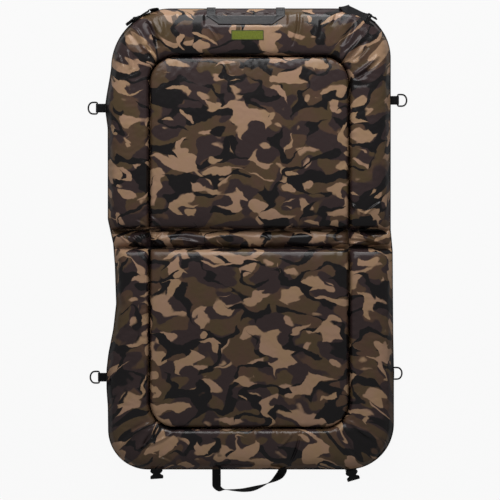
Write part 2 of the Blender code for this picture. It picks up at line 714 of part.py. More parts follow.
# D-rings and the folded tabs that hold them to the seam
RINGS = (("upper_left", -1, RING_Y_UPPER_LEFT, RING_REACH_UPPER_LEFT),
         ("upper_right", 1, RING_Y_UPPER_RIGHT, RING_REACH_UPPER_RIGHT),
         ("lower_left", -1, RING_Y_LOWER_LEFT, RING_REACH_LOWER_LEFT),
         ("lower_right", 1, RING_Y_LOWER_RIGHT, RING_REACH_LOWER_RIGHT))
ring_hold = 0.5 * RING_WIRE + CLEARANCE
ring_bar_z = ring_hold + WEBBING_THICKNESS + 0.5 * CLEARANCE
ring_half = 0.5 * (RING_WIDTH - RING_WIRE)
ring_out = RING_DEPTH - RING_WIRE
ring_droop = (ring_bar_z - 0.5 * RING_WIRE - 0.5 * CLEARANCE) / ring_out
for ring_name, side, ring_y, reach in RINGS:
    seam_x = side_x(side, ring_y)
    bar = Vector((seam_x + side * reach, ring_y, ring_bar_z))
    sewn_end = Vector((seam_x - side * TAB_TUCK, ring_y, 0))
    across = Vector((0, 0.5 * WEBBING_WIDTH, 0))
    half = 1 if ring_y > 0 else -1
    sewn_end.z = tab_end_z(half, sewn_end, across)
    tab = folded_tab(bar, sewn_end, across, ring_hold, WEBBING_THICKNESS)
    make_object("ring_tab_" + ring_name, *tab, BLACK_WEBBING)

    # Wire bent to a D, its straight bar in the tab and its bow lying on the ground
    path = [(0.0, -0.82 * ring_half), (0.0, 0.82 * ring_half)]
    for step in range(RING_STEPS + 1):
        angle = 0.5 * pi * (1 - 2 * step / RING_STEPS) * 0.97
        bow = abs(sin(angle)) ** RING_SQUARENESS
        path.append((ring_out * cos(angle) ** RING_SQUARENESS,
                     ring_half * (bow if angle > 0 else -bow)))
    sections = []
    for index, (u, v) in enumerate(path):
        arriving = Vector((u - path[index - 1][0], v - path[index - 1][1])).normalized()
        following = path[(index + 1) % len(path)]
        leaving = Vector((following[0] - u, following[1] - v)).normalized()
        along = (arriving + leaving).normalized()
        spread = 1 / max(along.dot(leaving), 0.7)
        section = []
        for step in range(RING_SIDES):
            angle = 2 * pi * step / RING_SIDES
            sideways = 0.5 * RING_WIRE * cos(angle) * spread
            away = u + along.y * sideways
            section.append(Vector((bar.x + side * away, bar.y + v - along.x * sideways,
                                   bar.z - away * ring_droop + 0.5 * RING_WIRE * sin(angle))))
        sections.append(section)
    make_object("d_ring_" + ring_name, *loft(sections, closed=True), BLACK_WIRE, pivot=bar)


# Upper handle: two legs out of the seam, over the rim, and a band with folded corners
HANDLE_SEAM_Z = BINDING_UNDER - CLEARANCE - 0.5 * HANDLE_THICKNESS
half_webbing = 0.5 * WEBBING_WIDTH
off_seam = 0.5 * HANDLE_THICKNESS + CLEARANCE
over_seam = SEAM_TOP + BINDING_THICKNESS + CLEARANCE + off_seam
shoulder = [RIM_SHOULDER * share for share in RIM_SHOULDER_SHARES]
leg_path = ((BINDING_LAP, HANDLE_SEAM_Z), (-1.3 * off_seam, HANDLE_SEAM_Z),
            (-1.3 * off_seam, over_seam - off_seam), (0.5 * BINDING_LAP, over_seam + off_seam),
            (shoulder[0] - off_seam, rim_height(shoulder[0]) + 0.6 * off_seam),
            (shoulder[1] - off_seam, rim_height(shoulder[1]) + off_seam),
            (TOP_HANDLE_REACH, TOP_HANDLE_LIFT))


def handle_place(x, inset, z):
    """Point over the upper end of the mat, at a distance in from its seam."""
    return Vector((x, HALF_LENGTH - inset, z))


band_far = TOP_HANDLE_REACH + WEBBING_WIDTH + 0.05 * WEBBING_WIDTH
band_far_z = TOP_HANDLE_LIFT + TOP_HANDLE_RISE
left_out = TOP_HANDLE_LEFT_X - half_webbing
left_in = TOP_HANDLE_LEFT_X + half_webbing
right_in = TOP_HANDLE_RIGHT_X - half_webbing
right_out = TOP_HANDLE_RIGHT_X + half_webbing
edges = [(handle_place(left_out, inset, z), handle_place(left_in, inset, z))
         for inset, z in leg_path]
half_way_z = 0.5 * (TOP_HANDLE_LIFT + band_far_z)
half_way = 0.5 * (TOP_HANDLE_REACH + band_far)
inner_left = handle_place(left_in + 0.05 * WEBBING_WIDTH, TOP_HANDLE_REACH, TOP_HANDLE_LIFT)
inner_right = handle_place(right_in - 0.05 * WEBBING_WIDTH, TOP_HANDLE_REACH, TOP_HANDLE_LIFT)
edges.append((handle_place(left_out + 1.5 * TOP_HANDLE_CUT, half_way, half_way_z), inner_left))
edges.append((handle_place(left_out + 3 * TOP_HANDLE_CUT, band_far, band_far_z),
              inner_left + Vector((0.1 * WEBBING_WIDTH, 0, 0))))
edges.append((handle_place(right_out - 3 * TOP_HANDLE_CUT, band_far, band_far_z),
              inner_right - Vector((0.1 * WEBBING_WIDTH, 0, 0))))
edges.append((handle_place(right_out - 1.5 * TOP_HANDLE_CUT, half_way, half_way_z), inner_right))
edges += [(handle_place(right_out, inset, z), handle_place(right_in, inset, z))
          for inset, z in leg_path[::-1]]
handle_sections = []
for index, (outer, inner) in enumerate(edges):
    before = edges[max(index - 1, 0)]
    after = edges[min(index + 1, len(edges) - 1)]
    middle = 0.5 * (outer + inner)
    earlier = 0.5 * (before[0] + before[1])
    later = 0.5 * (after[0] + after[1])
    arriving = (middle - earlier).normalized() if index > 0 else (later - middle).normalized()
    leaving = (later - middle).normalized() if index < len(edges) - 1 else arriving
    along = (arriving + leaving).normalized()
    normal = along.cross((inner - outer).normalized()).normalized()
    lift = normal * 0.5 * HANDLE_THICKNESS / max(along.dot(leaving), 0.75)
    handle_sections.append((outer - lift, inner - lift, inner + lift, outer + lift))
top_middle = 0.5 * (TOP_HANDLE_LEFT_X + TOP_HANDLE_RIGHT_X)
top_pivot = handle_place(top_middle, BINDING_LAP, HANDLE_SEAM_Z)
make_object("handle_upper", *loft(handle_sections), BLACK_WEBBING, pivot=top_pivot)


# Lower handle: out of the seam, down to the ground, turned on edge and twisted back
low_middle = 0.5 * (LOW_HANDLE_LEFT_X + LOW_HANDLE_RIGHT_X)
low_half = 0.5 * (LOW_HANDLE_RIGHT_X - LOW_HANDLE_LEFT_X)
ground_z = 0.5 * HANDLE_THICKNESS + 0.5 * CLEARANCE
low_places = []
low_twists = []
for x_share, drop_share, lift_share, twist_share in zip(
        LOW_HANDLE_X_SHARES, LOW_HANDLE_DROP_SHARES, LOW_HANDLE_LIFT_SHARES,
        LOW_HANDLE_TWIST_SHARES):
    twist = pi * twist_share
    rest = ground_z + (half_webbing - 0.2 * HANDLE_THICKNESS) * sin(twist)
    z = max(rest, ground_z + (HANDLE_SEAM_Z - ground_z) * lift_share)
    low_places.append(Vector((low_middle + low_half * x_share,
                              -HALF_LENGTH - LOW_HANDLE_DROP * drop_share, z)))
    low_twists.append(twist)
low_acrosses = []
for index, twist in enumerate(low_twists):
    along = low_places[min(index + 1, len(low_places) - 1)] - low_places[max(index - 1, 0)]
    heading = Vector((along.x, along.y, 0)).normalized()
    flat = Vector((-heading.y, heading.x, 0))
    across = flat * cos(twist) + Vector((0, 0, sin(twist)))
    low_acrosses.append(across * half_webbing)
low_pivot = Vector((low_middle, -HALF_LENGTH - off_seam, HANDLE_SEAM_Z))
make_object("handle_lower", *webbing(low_places, low_acrosses, HANDLE_THICKNESS),
            BLACK_WEBBING, pivot=low_pivot)


# Buckle parts are drawn flat, along u, across v and through w, then turned into place
BAR_HOLD = sqrt(0.25 * BUCKLE_BAR ** 2 + 0.25 * MALE_THICKNESS ** 2) + 0.7 * CLEARANCE
BAR_BACK = -0.5 * BUCKLE_BAR
SLOT_END = 0.5 * BUCKLE_BAR + BUCKLE_SLOT
SLOT_HALF = half_webbing + CLEARANCE


def block(frame, low, high):
    """Points and faces of a box between two corners in a buckle's own frame."""
    corners = [(low[0], low[1]), (high[0], low[1]), (high[0], high[1]), (low[0], high[1])]
    return slice_body(frame, corners, low[2], high[2])


def slice_body(frame, outline, under, over):
    """Points and faces of an outline given thickness in a buckle's own frame."""
    sections = [[frame @ Vector((u, v, w)) for u, v in outline] for w in (under, over)]
    return loft(sections)


def hidden_tool(name, points, faces, place):
    """Cutting or adding shape that isn't rendered."""
    tool = make_object(name, points, faces, BLACK_PLASTIC, pivot=place)
    tool.hide_render = True
    tool.display_type = 'WIRE'
    return tool


def combine(body, tool, operation):
    """Add an exact Boolean modifier to a body."""
    modifier = body.modifiers.new(tool.name, 'BOOLEAN')
    modifier.operation = operation
    modifier.solver = 'EXACT'
    modifier.object = tool


def female_buckle(name, frame, pivot):
    """Socket half: hourglass shell open at its mouth and waist, with a webbing bar behind."""
    half_thick = 0.5 * FEMALE_THICKNESS
    start = SLOT_END
    span = FEMALE_LENGTH - start
    right = [(start + span * a, 0.5 * FEMALE_WIDTH * b)
             for a, b in zip(FEMALE_LENGTH_SHARES, FEMALE_WIDTH_SHARES)]
    waist = FEMALE_WAIST / FEMALE_WIDTH
    right = [(u, max(v, 0.5 * FEMALE_WIDTH * waist)) for u, v in right]
    outline = right + [(u, -v) for u, v in reversed(right)]
    body = make_object(name, *slice_body(frame, outline, -half_thick, half_thick),
                       BLACK_PLASTIC, pivot=pivot)
    socket = block(frame, (FEMALE_LENGTH - SOCKET_DEPTH, -0.5 * SOCKET_WIDTH,
                           -0.5 * SOCKET_HEIGHT),
                   (FEMALE_LENGTH + CUT_OVERRUN, 0.5 * SOCKET_WIDTH, 0.5 * SOCKET_HEIGHT))
    combine(body, hidden_tool(name + "_socket", *socket, pivot), 'DIFFERENCE')
    arm_out = 0.5 * FEMALE_WIDTH * FEMALE_WIDTH_SHARES[0] - CLEARANCE
    bar_middle = 0.5 * BUCKLE_BAR
    front = start + bar_middle
    rail = 0.5 * BUCKLE_BAR
    loop = ((0.0, -1), (front, -1), (front, 1), (0.0, 1))
    sections = []
    for u, side in loop:
        inner_u = rail if u == 0.0 else front - rail
        outer_u = -rail if u == 0.0 else front + rail
        sections.append([frame @ Vector(corner) for corner in
                         ((outer_u, side * arm_out, -rail), (inner_u, side * SLOT_HALF, -rail),
                          (inner_u, side * SLOT_HALF, rail), (outer_u, side * arm_out, rail))])
    combine(body, hidden_tool(name + "_bar", *loft(sections, closed=True), pivot), 'UNION')
    return body


def male_buckle(name, frame, pivot):
    """Prong half: flat frame with a webbing slot, two sprung arms and a guide."""
    half_thick = 0.5 * MALE_THICKNESS
    frame_half = 0.5 * FRAME_WIDTH
    prong = MALE_LENGTH - MALE_FRAME
    right = [(BAR_BACK, frame_half - 0.5 * BUCKLE_BAR), (BAR_BACK + 0.5 * BUCKLE_BAR, frame_half),
             (MALE_FRAME - 0.5 * PRONG_WIDTH, frame_half),
             (MALE_FRAME, frame_half - 0.3 * PRONG_WIDTH)]
    right += [(MALE_FRAME + prong * along, PRONG_SPREAD + PRONG_WIDTH * out)
              for along, out in zip(PRONG_LENGTH_SHARES, PRONG_OUT_SHARES)]
    right += [(MALE_FRAME + prong * along, 0.5 * GUIDE_WIDTH * width)
              for along, width in zip(GUIDE_LENGTH_SHARES, GUIDE_WIDTH_SHARES)]
    outline = right + [(u, -v) for u, v in reversed(right)]
    body = make_object(name, *slice_body(frame, outline, -half_thick, half_thick),
                       BLACK_PLASTIC, pivot=pivot)
    slot = block(frame, (0.5 * BUCKLE_BAR, -SLOT_HALF, -half_thick - CUT_OVERRUN),
                 (SLOT_END, SLOT_HALF, half_thick + CUT_OVERRUN))
    combine(body, hidden_tool(name + "_slot", *slot, pivot), 'DIFFERENCE')
    return body


# Sockets at the lower end, each on a folded tab under the seam
FEMALES = (("left", FEMALE_LEFT_FROM_SIDE - HALF_WIDTH, FEMALE_LEFT_REACH, FEMALE_LEFT_TURN),
           ("right", HALF_WIDTH - FEMALE_RIGHT_FROM_SIDE, FEMALE_RIGHT_REACH, FEMALE_RIGHT_TURN))
for side_name, bar_x, reach, turn in FEMALES:
    side = -1 if bar_x < 0 else 1
    centre_x, centre_y = corner_centre(-1, side)
    past = max(side * (bar_x - centre_x), 0.0)
    radius = CORNER_RADII[(-1, side)]
    seam_y = -centre_y - sqrt(radius ** 2 - past ** 2)
    bar = Vector((bar_x, seam_y - reach, 0.5 * (FEMALE_THICKNESS + CLEARANCE)))
    out = Vector((sin(turn), -cos(turn), 0))
    over = Vector((cos(turn), sin(turn), 0))
    frame = Matrix.Translation(bar) @ Matrix(
        ((out.x, over.x, 0), (out.y, over.y, 0), (0, 0, 1))).to_4x4()
    female_buckle("buckle_socket_" + side_name, frame, bar)
    sewn_end = bar - out * (reach + TAB_TUCK)
    sewn_end.z = tab_end_z(-1, sewn_end, over * half_webbing)
    tab = folded_tab(bar, sewn_end, over * half_webbing, BAR_HOLD, WEBBING_THICKNESS)
    make_object("socket_tab_" + side_name, *tab, BLACK_WEBBING)


def strap_end(bar, heading, normal):
    """Places of a strap's end: up to the bar, round it and back along itself."""
    radius = BAR_HOLD + 0.5 * WEBBING_THICKNESS
    lap = WEBBING_THICKNESS + CLEARANCE
    profile = [(-STRAP_LAP, -radius), (-0.5 * STRAP_LAP, -radius)]
    for step in range(LOOP_STEPS + 1):
        angle = -0.5 * pi + (0.5 * pi + radians(118)) * step / LOOP_STEPS
        profile.append((radius * cos(angle), radius * sin(angle)))
    profile += [(-0.6 * STRAP_LAP, 1.1 * lap - radius), (-0.95 * STRAP_LAP, 1.05 * lap - radius)]
    return [bar + heading * u + normal * w for u, w in profile]


# Right strap: out of the seam, folded over the corner of the rim, prongs pointing off it
centre_x, centre_y = corner_centre(1, 1)
heading = Vector((cos(STRAP_RIGHT_HEADING), sin(STRAP_RIGHT_HEADING), 0))
level = Vector((-heading.y, heading.x, 0))
rolled = level * cos(STRAP_RIGHT_ROLL) - Vector((0, 0, sin(STRAP_RIGHT_ROLL)))
upright = level * sin(STRAP_RIGHT_ROLL) + Vector((0, 0, cos(STRAP_RIGHT_ROLL)))
strap_x = HALF_WIDTH - STRAP_RIGHT_FROM_SIDE
start = Vector((strap_x + STRAP_RIGHT_START_SIDE, HALF_LENGTH - STRAP_RIGHT_START_INSET,
                STRAP_RIGHT_START_LIFT))
bar = start + heading * STRAP_RIGHT_RUN
bar.z = STRAP_RIGHT_END_LIFT
STRAP_SEAM_Z = BINDING_UNDER - CLEARANCE - 0.5 * WEBBING_THICKNESS
flat = Vector((half_webbing, 0, 0))
crease = Vector(STRAP_CREASE_SHARES).normalized() * half_webbing
bend = Vector(STRAP_BEND_SHARES).normalized() * half_webbing
places = [Vector((strap_x, HALF_LENGTH - FLANGE, STRAP_SEAM_Z)),
          Vector((strap_x, HALF_LENGTH + STRAP_RIGHT_OUTSIDE * STRAP_CLIMB_OUT_SHARES[1],
                  STRAP_SEAM_Z))]
for aside, away, up in zip(STRAP_CLIMB_SIDE_SHARES, STRAP_CLIMB_OUT_SHARES,
                           STRAP_CLIMB_LIFT_SHARES):
    places.append(Vector((strap_x + WEBBING_WIDTH * aside,
                          HALF_LENGTH + STRAP_RIGHT_OUTSIDE * away,
                          STRAP_RIGHT_START_LIFT * up)))
places += [start, start + heading * STRAP_RIGHT_RUN * STRAP_FLAT_SHARE]
acrosses = [flat, flat, flat, crease, bend, rolled * half_webbing]
end_places = strap_end(bar, heading, upright)
places += end_places
acrosses += [rolled * half_webbing] * len(end_places)
strap_pivot = Vector((strap_x, HALF_LENGTH - FLANGE, STRAP_SEAM_Z))
make_object("strap_right", *webbing(places, acrosses, WEBBING_THICKNESS), BLACK_WEBBING,
            pivot=strap_pivot)
pitched = heading * cos(MALE_RIGHT_PITCH) - upright * sin(MALE_RIGHT_PITCH)
raised = heading * sin(MALE_RIGHT_PITCH) + upright * cos(MALE_RIGHT_PITCH)
frame = Matrix.Translation(bar) @ Matrix(
    ((pitched.x, rolled.x, raised.x), (pitched.y, rolled.y, raised.y),
     (pitched.z, rolled.z, raised.z))).to_4x4()
male_buckle("buckle_prong_right", frame, bar)


# Left strap: a root turned on edge as it leaves the seam, and a strap round the corner's wall
centre_x, centre_y = corner_centre(1, -1)
radius = CORNER_RADII[(1, -1)]
centre = Vector((centre_x, centre_y, 0))
bar_z = 0.5 * (FRAME_WIDTH + CLEARANCE)
hug = CLEARANCE + 0.6 * WEBBING_THICKNESS


def round_corner(angle, out, z):
    """Point outside the upper left corner at an angle round it."""
    return centre + Vector((cos(angle), sin(angle), 0)) * (radius + out) + Vector((0, 0, z))


def tangent(angle):
    """Direction along the corner, from the end of the mat towards its side."""
    return Vector((-sin(angle), cos(angle), 0))


upright = Vector((0, 0, half_webbing))
first = STRAP_LEFT_START
lying = -tangent(first) * half_webbing
places = [round_corner(first, -FLANGE, STRAP_SEAM_Z)]
for out_share, rise_share in zip(STRAP_ROOT_OUT_SHARES, STRAP_ROOT_RISE_SHARES):
    places.append(round_corner(first, out_share * STRAP_LEFT_OUTSIDE,
                               STRAP_SEAM_Z + rise_share * STRAP_ROOT_RISE))
acrosses = [lying] * len(places)
turning_point = round_corner(first, STRAP_LEFT_OUTSIDE, STRAP_SEAM_Z + STRAP_ROOT_RISE)
turning_point += tangent(first) * (half_webbing + STRAP_ROOT_INSIDE)
for step in range(STRAP_ROOT_STEPS + 1):
    turn = 0.5 * pi * step / STRAP_ROOT_STEPS
    across = lying * cos(turn) + upright * sin(turn)
    places.append(turning_point + across * (1 + STRAP_ROOT_INSIDE / half_webbing))
    acrosses.append(across)
make_object("strap_root_left", *webbing(places, acrosses, WEBBING_THICKNESS), BLACK_WEBBING)
strap_z = places[-1].z
from_centre = turning_point - centre
hinge_out = from_centre.xy.length - radius
turned = atan2(from_centre.y, from_centre.x)
hinged = turned + (0.5 * WEBBING_THICKNESS + CLEARANCE) / radius
bar_angle = first + STRAP_LEFT_RUN / radius
run_angle = bar_angle - 1.4 * STRAP_LAP / radius - hinged
places = [round_corner(hinged, hinge_out, strap_z)]
acrosses = [upright]
for step in range(1, STRAP_LEFT_STEPS + 1):
    share = step / STRAP_LEFT_STEPS
    z = strap_z + (bar_z - strap_z) * share
    out = hug + STRAP_LEFT_OUTSIDE * 0.3 * (1 - share)
    places.append(round_corner(hinged + run_angle * share, out, z))
    acrosses.append(upright)
outward = Vector((cos(bar_angle), sin(bar_angle), 0))
bar = round_corner(bar_angle, hug + BAR_HOLD + 0.5 * WEBBING_THICKNESS, bar_z)
end_places = strap_end(bar, tangent(bar_angle), outward)
places += end_places
acrosses += [upright] * len(end_places)
strap_pivot = round_corner(hinged, hinge_out, strap_z)
make_object("strap_left", *webbing(places, acrosses, WEBBING_THICKNESS), BLACK_WEBBING,
            pivot=strap_pivot)
along = tangent(bar_angle)
frame = Matrix.Translation(bar) @ Matrix(
    ((along.x, 0, outward.x), (along.y, 0, outward.y), (0, -1, 0))).to_4x4()
male_buckle("buckle_prong_left", frame, bar)
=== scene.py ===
from math import cos, pi, radians, sin

import bmesh
import bpy
import numpy as np
from mathutils import Matrix, Vector
from mathutils.bvhtree import BVHTree


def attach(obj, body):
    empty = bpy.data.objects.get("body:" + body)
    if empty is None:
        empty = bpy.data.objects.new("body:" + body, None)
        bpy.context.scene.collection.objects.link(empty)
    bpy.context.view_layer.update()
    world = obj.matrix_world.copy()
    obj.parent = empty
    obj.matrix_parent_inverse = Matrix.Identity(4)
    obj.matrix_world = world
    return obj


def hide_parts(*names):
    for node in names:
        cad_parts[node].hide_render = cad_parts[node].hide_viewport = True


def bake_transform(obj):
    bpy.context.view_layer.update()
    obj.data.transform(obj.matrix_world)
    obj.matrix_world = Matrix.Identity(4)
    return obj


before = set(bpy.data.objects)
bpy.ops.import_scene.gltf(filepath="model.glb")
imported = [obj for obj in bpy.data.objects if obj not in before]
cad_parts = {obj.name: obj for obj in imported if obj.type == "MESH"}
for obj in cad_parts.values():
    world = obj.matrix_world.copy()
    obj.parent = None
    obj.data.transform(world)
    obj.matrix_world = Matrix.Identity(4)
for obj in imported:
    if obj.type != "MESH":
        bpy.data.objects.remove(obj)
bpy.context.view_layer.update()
scene = bpy.context.scene
scene.view_settings.view_transform = "Standard"


# Camera: it looks straight down on the mat, a little below the fold, from far enough for the mild
# perspective of the photograph.
def put_in_scene(name, data):
    """A new object of the scene for a mesh, a lamp or a camera."""
    made = bpy.data.objects.new(name, data)
    scene.collection.objects.link(made)
    return made


def with_settings(item, **settings):
    """The same modifier, lamp, camera or node, once its settings are made."""
    for setting, value in settings.items():
        setattr(item, setting, value)
    return item


camera_data = with_settings(bpy.data.cameras.new("camera_above"), sensor_width=36, lens=100)
camera = put_in_scene("camera_above", camera_data)
camera.location = (0.0016, -0.0254, 3.209)
scene.camera = camera


# Floor and light: a white floor that keeps the mat's shadow, a broad lamp and a low one beyond the
# upper end, and an even pale surround.
FLOOR_Z = -0.0004
FLOOR_GLOW_SHARE = 0.93
SURROUND_LIGHT = 0.35
SURROUND_SEEN = 0.95
LAMPS = (("broad_lamp", 1.5, 30.5, (-0.1, 1.5, 1.05)), ("low_lamp", 0.8, 12.5, (0.3, 2.2, 0.5)))


def piece_of(name, shape):
    """An object with the mesh of a finished shape."""
    mesh = bpy.data.meshes.new(name)
    shape.to_mesh(mesh)
    shape.free()
    return put_in_scene(name, mesh)


def add_node(tree, kind, values=(), **settings):
    """A shader node with its settings, and with a value or a link for each input that is named."""
    node = with_settings(tree.nodes.new("ShaderNode" + kind), **settings)
    for socket, value in dict(values).items():
        if isinstance(value, bpy.types.NodeSocket):
            tree.links.new(value, node.inputs[socket])
        else:
            node.inputs[socket].default_value = value
    return node


def calculate(tree, operation, *values):
    """The result of one math node on sockets and plain numbers."""
    return add_node(tree, "Math", enumerate(values), operation=operation).outputs[0]


floor_shape = bmesh.new()
bmesh.ops.create_grid(floor_shape, x_segments=1, y_segments=1, size=4,
                      matrix=Matrix.Translation((0, 0, FLOOR_Z)))
floor = piece_of("floor", floor_shape)
floor_paint = bpy.data.materials.new("floor_white")
floor_paint.use_nodes = True
tree = floor_paint.node_tree
tree.nodes.clear()
floor_rays = add_node(tree, "LightPath")
floor_diffuse = add_node(tree, "BsdfDiffuse", {"Color": (0.32, 0.32, 0.32, 1)})
floor_glow = add_node(tree, "Emission", {"Color": (1, 1, 1, 1)})
floor_share = calculate(tree, "MULTIPLY", floor_rays.outputs["Is Camera Ray"], FLOOR_GLOW_SHARE)
floor_mix = add_node(tree, "MixShader", {"Fac": floor_share, 1: floor_diffuse.outputs[0],
                                         2: floor_glow.outputs[0]})
add_node(tree, "OutputMaterial", {"Surface": floor_mix.outputs[0]})
floor.data.materials.append(floor_paint)

for lamp_name, lamp_size, lamp_power, lamp_place in LAMPS:
    lamp_data = with_settings(bpy.data.lights.new(lamp_name, "AREA"), shape="SQUARE", size=lamp_size,
                              energy=lamp_power)
    lamp = put_in_scene(lamp_name, lamp_data)
    lamp.location = lamp_place
    lamp.rotation_euler = Vector(lamp_place).to_track_quat("Z", "Y").to_euler()

surround = bpy.data.worlds.new("surround")
surround.use_nodes = True
tree = surround.node_tree
tree.nodes["Background"].inputs["Color"].default_value = (1, 1, 1, 1)
surround_rays = add_node(tree, "LightPath")
surround_level = add_node(tree, "MapRange", {"Value": surround_rays.outputs["Is Camera Ray"],
                                             "To Min": SURROUND_LIGHT, "To Max": SURROUND_SEEN})
tree.links.new(surround_level.outputs[0], tree.nodes["Background"].inputs["Strength"])
scene.world = surround


# Padded top: one camouflage cover of coated cloth over foam slabs. It is sewn through to the base
# along the groove and the two fold valleys, with the slack band of the fold between them.
# The foam strips of the rim fill it out to the sewn edge.
HALF_WIDTH = 0.327
HALF_LENGTH = 0.5305
CORNERS = {(-1, 1): 0.138, (1, 1): 0.115, (-1, -1): 0.092, (1, -1): 0.106}
LEFT_TUCK_Y = (-0.4403, -0.3857, -0.3448, -0.2997, -0.2631, -0.2080, -0.1491, -0.0599,
               -0.0101, 0.0451, 0.2546, 0.3019, 0.3310, 0.3729, 0.4133)
LEFT_TUCK = (0.00205, 0.00129, -0.00170, -0.00170, 0.00267, 0.01374, 0.0205, 0.01743,
             0.01353, 0.00123, 0.00103, -0.00554, -0.00144, 0.00595, 0.01199)
RIGHT_SPREAD_Y = (-0.2997, -0.2212, -0.0265, 0.0212)
RIGHT_SPREAD = (0.0058, 0.00441, 0.00302, -0.00151)
GROOVE_X = 0.229
GROOVE_UP = 0.418
GROOVE_DOWN = -0.433
GROOVE_RADIUS = 0.060
GROOVE_Z = 0.0033
VALLEY = 0.02115
SEAM_Z = 0.0138
SEAM_FLAT = 0.0030
HELD_EDGE = 0.0045
COVER_INSET = 0.0011
RIM_HEIGHT = 0.048
RIM_WALL = 0.0360
PANEL_WALL = 0.0345
PANEL_CROWN = 0.0063
BAND_HEIGHT = 0.027
PUCKER_HEIGHT = 0.00075
STITCH_REACH = 0.0008
EDGE_PLACES = (0.0038, 0.00996, 0.01885, 0.038)
EDGE_LIFTS = (0.0105, 0.00651, 0.00284, 0.0)
RIM_COLUMNS = 18
PANEL_COLUMNS = 84
UPPER_RIM_ROWS = 20
UPPER_ROWS = 72
BAND_ROWS = 8
LOWER_ROWS = 74
LOWER_RIM_ROWS = 18
COLUMNS = 2 * RIM_COLUMNS + PANEL_COLUMNS
ROWS = LOWER_RIM_ROWS + LOWER_ROWS + BAND_ROWS + UPPER_ROWS + UPPER_RIM_ROWS
EASING_ROUNDS = 2500
CLOTH_FRAMES = 20


def side_edge(side, y):
    """Where the sewn edge runs on one side of the mat."""
    if side < 0:
        return np.interp(y, LEFT_TUCK_Y, LEFT_TUCK) - HALF_WIDTH
    return HALF_WIDTH + np.interp(y, RIGHT_SPREAD_Y, RIGHT_SPREAD)


def corner_arc(side, end, radius, from_side):
    """Half of one corner of the sewn edge, from its straight to its middle."""
    start_y = end * (HALF_LENGTH - radius)
    middle_x = side_edge(side, start_y) - side * radius
    angles = np.linspace(0, pi / 4, 16)
    if not from_side:
        angles = pi / 2 - angles
    return np.column_stack((middle_x + side * radius * np.cos(angles),
                            start_y + end * radius * np.sin(angles)))


def run_along(line):
    """How far each point of a line lies from its start."""
    return np.concatenate(([0], np.cumsum(np.linalg.norm(np.diff(line, axis=0), axis=1))))


def points_at(line, places):
    """The points at some distances along a line of points."""
    run = run_along(line)
    return np.column_stack([np.interp(places, run, values) for values in np.asarray(line).T])


def spread_along(line, count):
    """Evenly spaced points along a line of points."""
    return points_at(line, np.linspace(0, run_along(line)[-1], count + 1))


def side_run(side, end):
    """The sewn edge from a fold valley up one side to the middle of its corner."""
    start_y = end * (HALF_LENGTH - CORNERS[(side, end)])
    heights = np.linspace(end * VALLEY, start_y, 60)
    straight = np.column_stack((side_edge(side, heights), heights))
    return np.vstack((straight[:-1], corner_arc(side, end, CORNERS[(side, end)], True)))


def groove_arc(side, end, first, last):
    """A part of one rounded corner of the stitched groove, between two angles."""
    top = GROOVE_UP if end > 0 else GROOVE_DOWN
    angles = np.linspace(first, last, 12)
    return np.column_stack((side * (GROOVE_X - GROOVE_RADIUS) + side * GROOVE_RADIUS * np.cos(angles),
                            top - end * GROOVE_RADIUS + end * GROOVE_RADIUS * np.sin(angles)))


def run_of_grid(points, axis):
    """How far each point of a grid lies from the grid's first row (0) or first column (1)."""
    steps = np.linalg.norm(np.diff(points, axis=axis), axis=2)
    return np.cumsum(np.insert(steps, 0, 0, axis=axis), axis=axis)


def grid_sheet(points, u, v):
    """A grid moved to rows and columns of points, with its UV map, and where each corner went."""
    rows, columns = points.shape[:2]
    sheet = bmesh.new()
    bmesh.ops.create_grid(sheet, x_segments=columns - 1, y_segments=rows - 1, size=0.5)
    spots = {}
    for vert in sheet.verts:
        spots[vert] = (round((vert.co.y + 0.5) * (rows - 1)), round((vert.co.x + 0.5) * (columns - 1)))
        vert.co = points[spots[vert]]
    cloth = sheet.loops.layers.uv.new("cloth")
    for face in sheet.faces:
        for corner in face.loops:
            corner[cloth].uv = (u[spots[corner.vert]], v[spots[corner.vert]])
        face.smooth = True
    return sheet, spots


# The grid's rows and columns are moved on to the seams, and the rest is eased evenly between them.
low_valley = LOWER_RIM_ROWS + LOWER_ROWS
high_valley = low_valley + BAND_ROWS
low_end = LOWER_RIM_ROWS
high_end = high_valley + UPPER_ROWS
left_groove = RIM_COLUMNS
right_groove = RIM_COLUMNS + PANEL_COLUMNS
place = np.zeros((ROWS + 1, COLUMNS + 1, 2))
fixed = np.zeros((ROWS + 1, COLUMNS + 1), dtype=bool)
band = np.linspace(-VALLEY, VALLEY, BAND_ROWS + 1)
for side, column, seam in ((-1, 0, left_groove), (1, COLUMNS, right_groove)):
    place[high_valley:, column] = spread_along(side_run(side, 1), ROWS - high_valley)
    place[:low_valley + 1, column] = spread_along(side_run(side, -1), low_valley)[::-1]
    for end, rows in ((1, slice(high_valley, high_end + 1)), (-1, slice(low_valley, low_end - 1, -1))):
        groove_run = np.vstack(([[side * GROOVE_X, end * VALLEY]], groove_arc(side, end, 0, pi / 4)))
        place[rows, seam] = spread_along(groove_run, UPPER_ROWS if end > 0 else LOWER_ROWS)
    place[low_valley:high_valley + 1, column] = np.column_stack((side_edge(side, band), band))
    place[low_valley:high_valley + 1, seam] = np.column_stack((0 * band + side * GROOVE_X, band))
    fixed[:, column] = True
    fixed[low_end:high_end + 1, seam] = True
for end, row, seam in ((1, ROWS, high_end), (-1, 0, low_end)):
    left = corner_arc(-1, end, CORNERS[(-1, end)], False)
    right = corner_arc(1, end, CORNERS[(1, end)], False)
    groove_end = np.vstack((groove_arc(-1, end, pi / 4, pi / 2), groove_arc(1, end, pi / 4, pi / 2)[::-1]))
    place[row] = spread_along(np.vstack((left[::-1], right)), COLUMNS)
    place[seam, left_groove:right_groove + 1] = spread_along(groove_end, PANEL_COLUMNS)
    fixed[row] = True
    fixed[seam, left_groove:right_groove + 1] = True
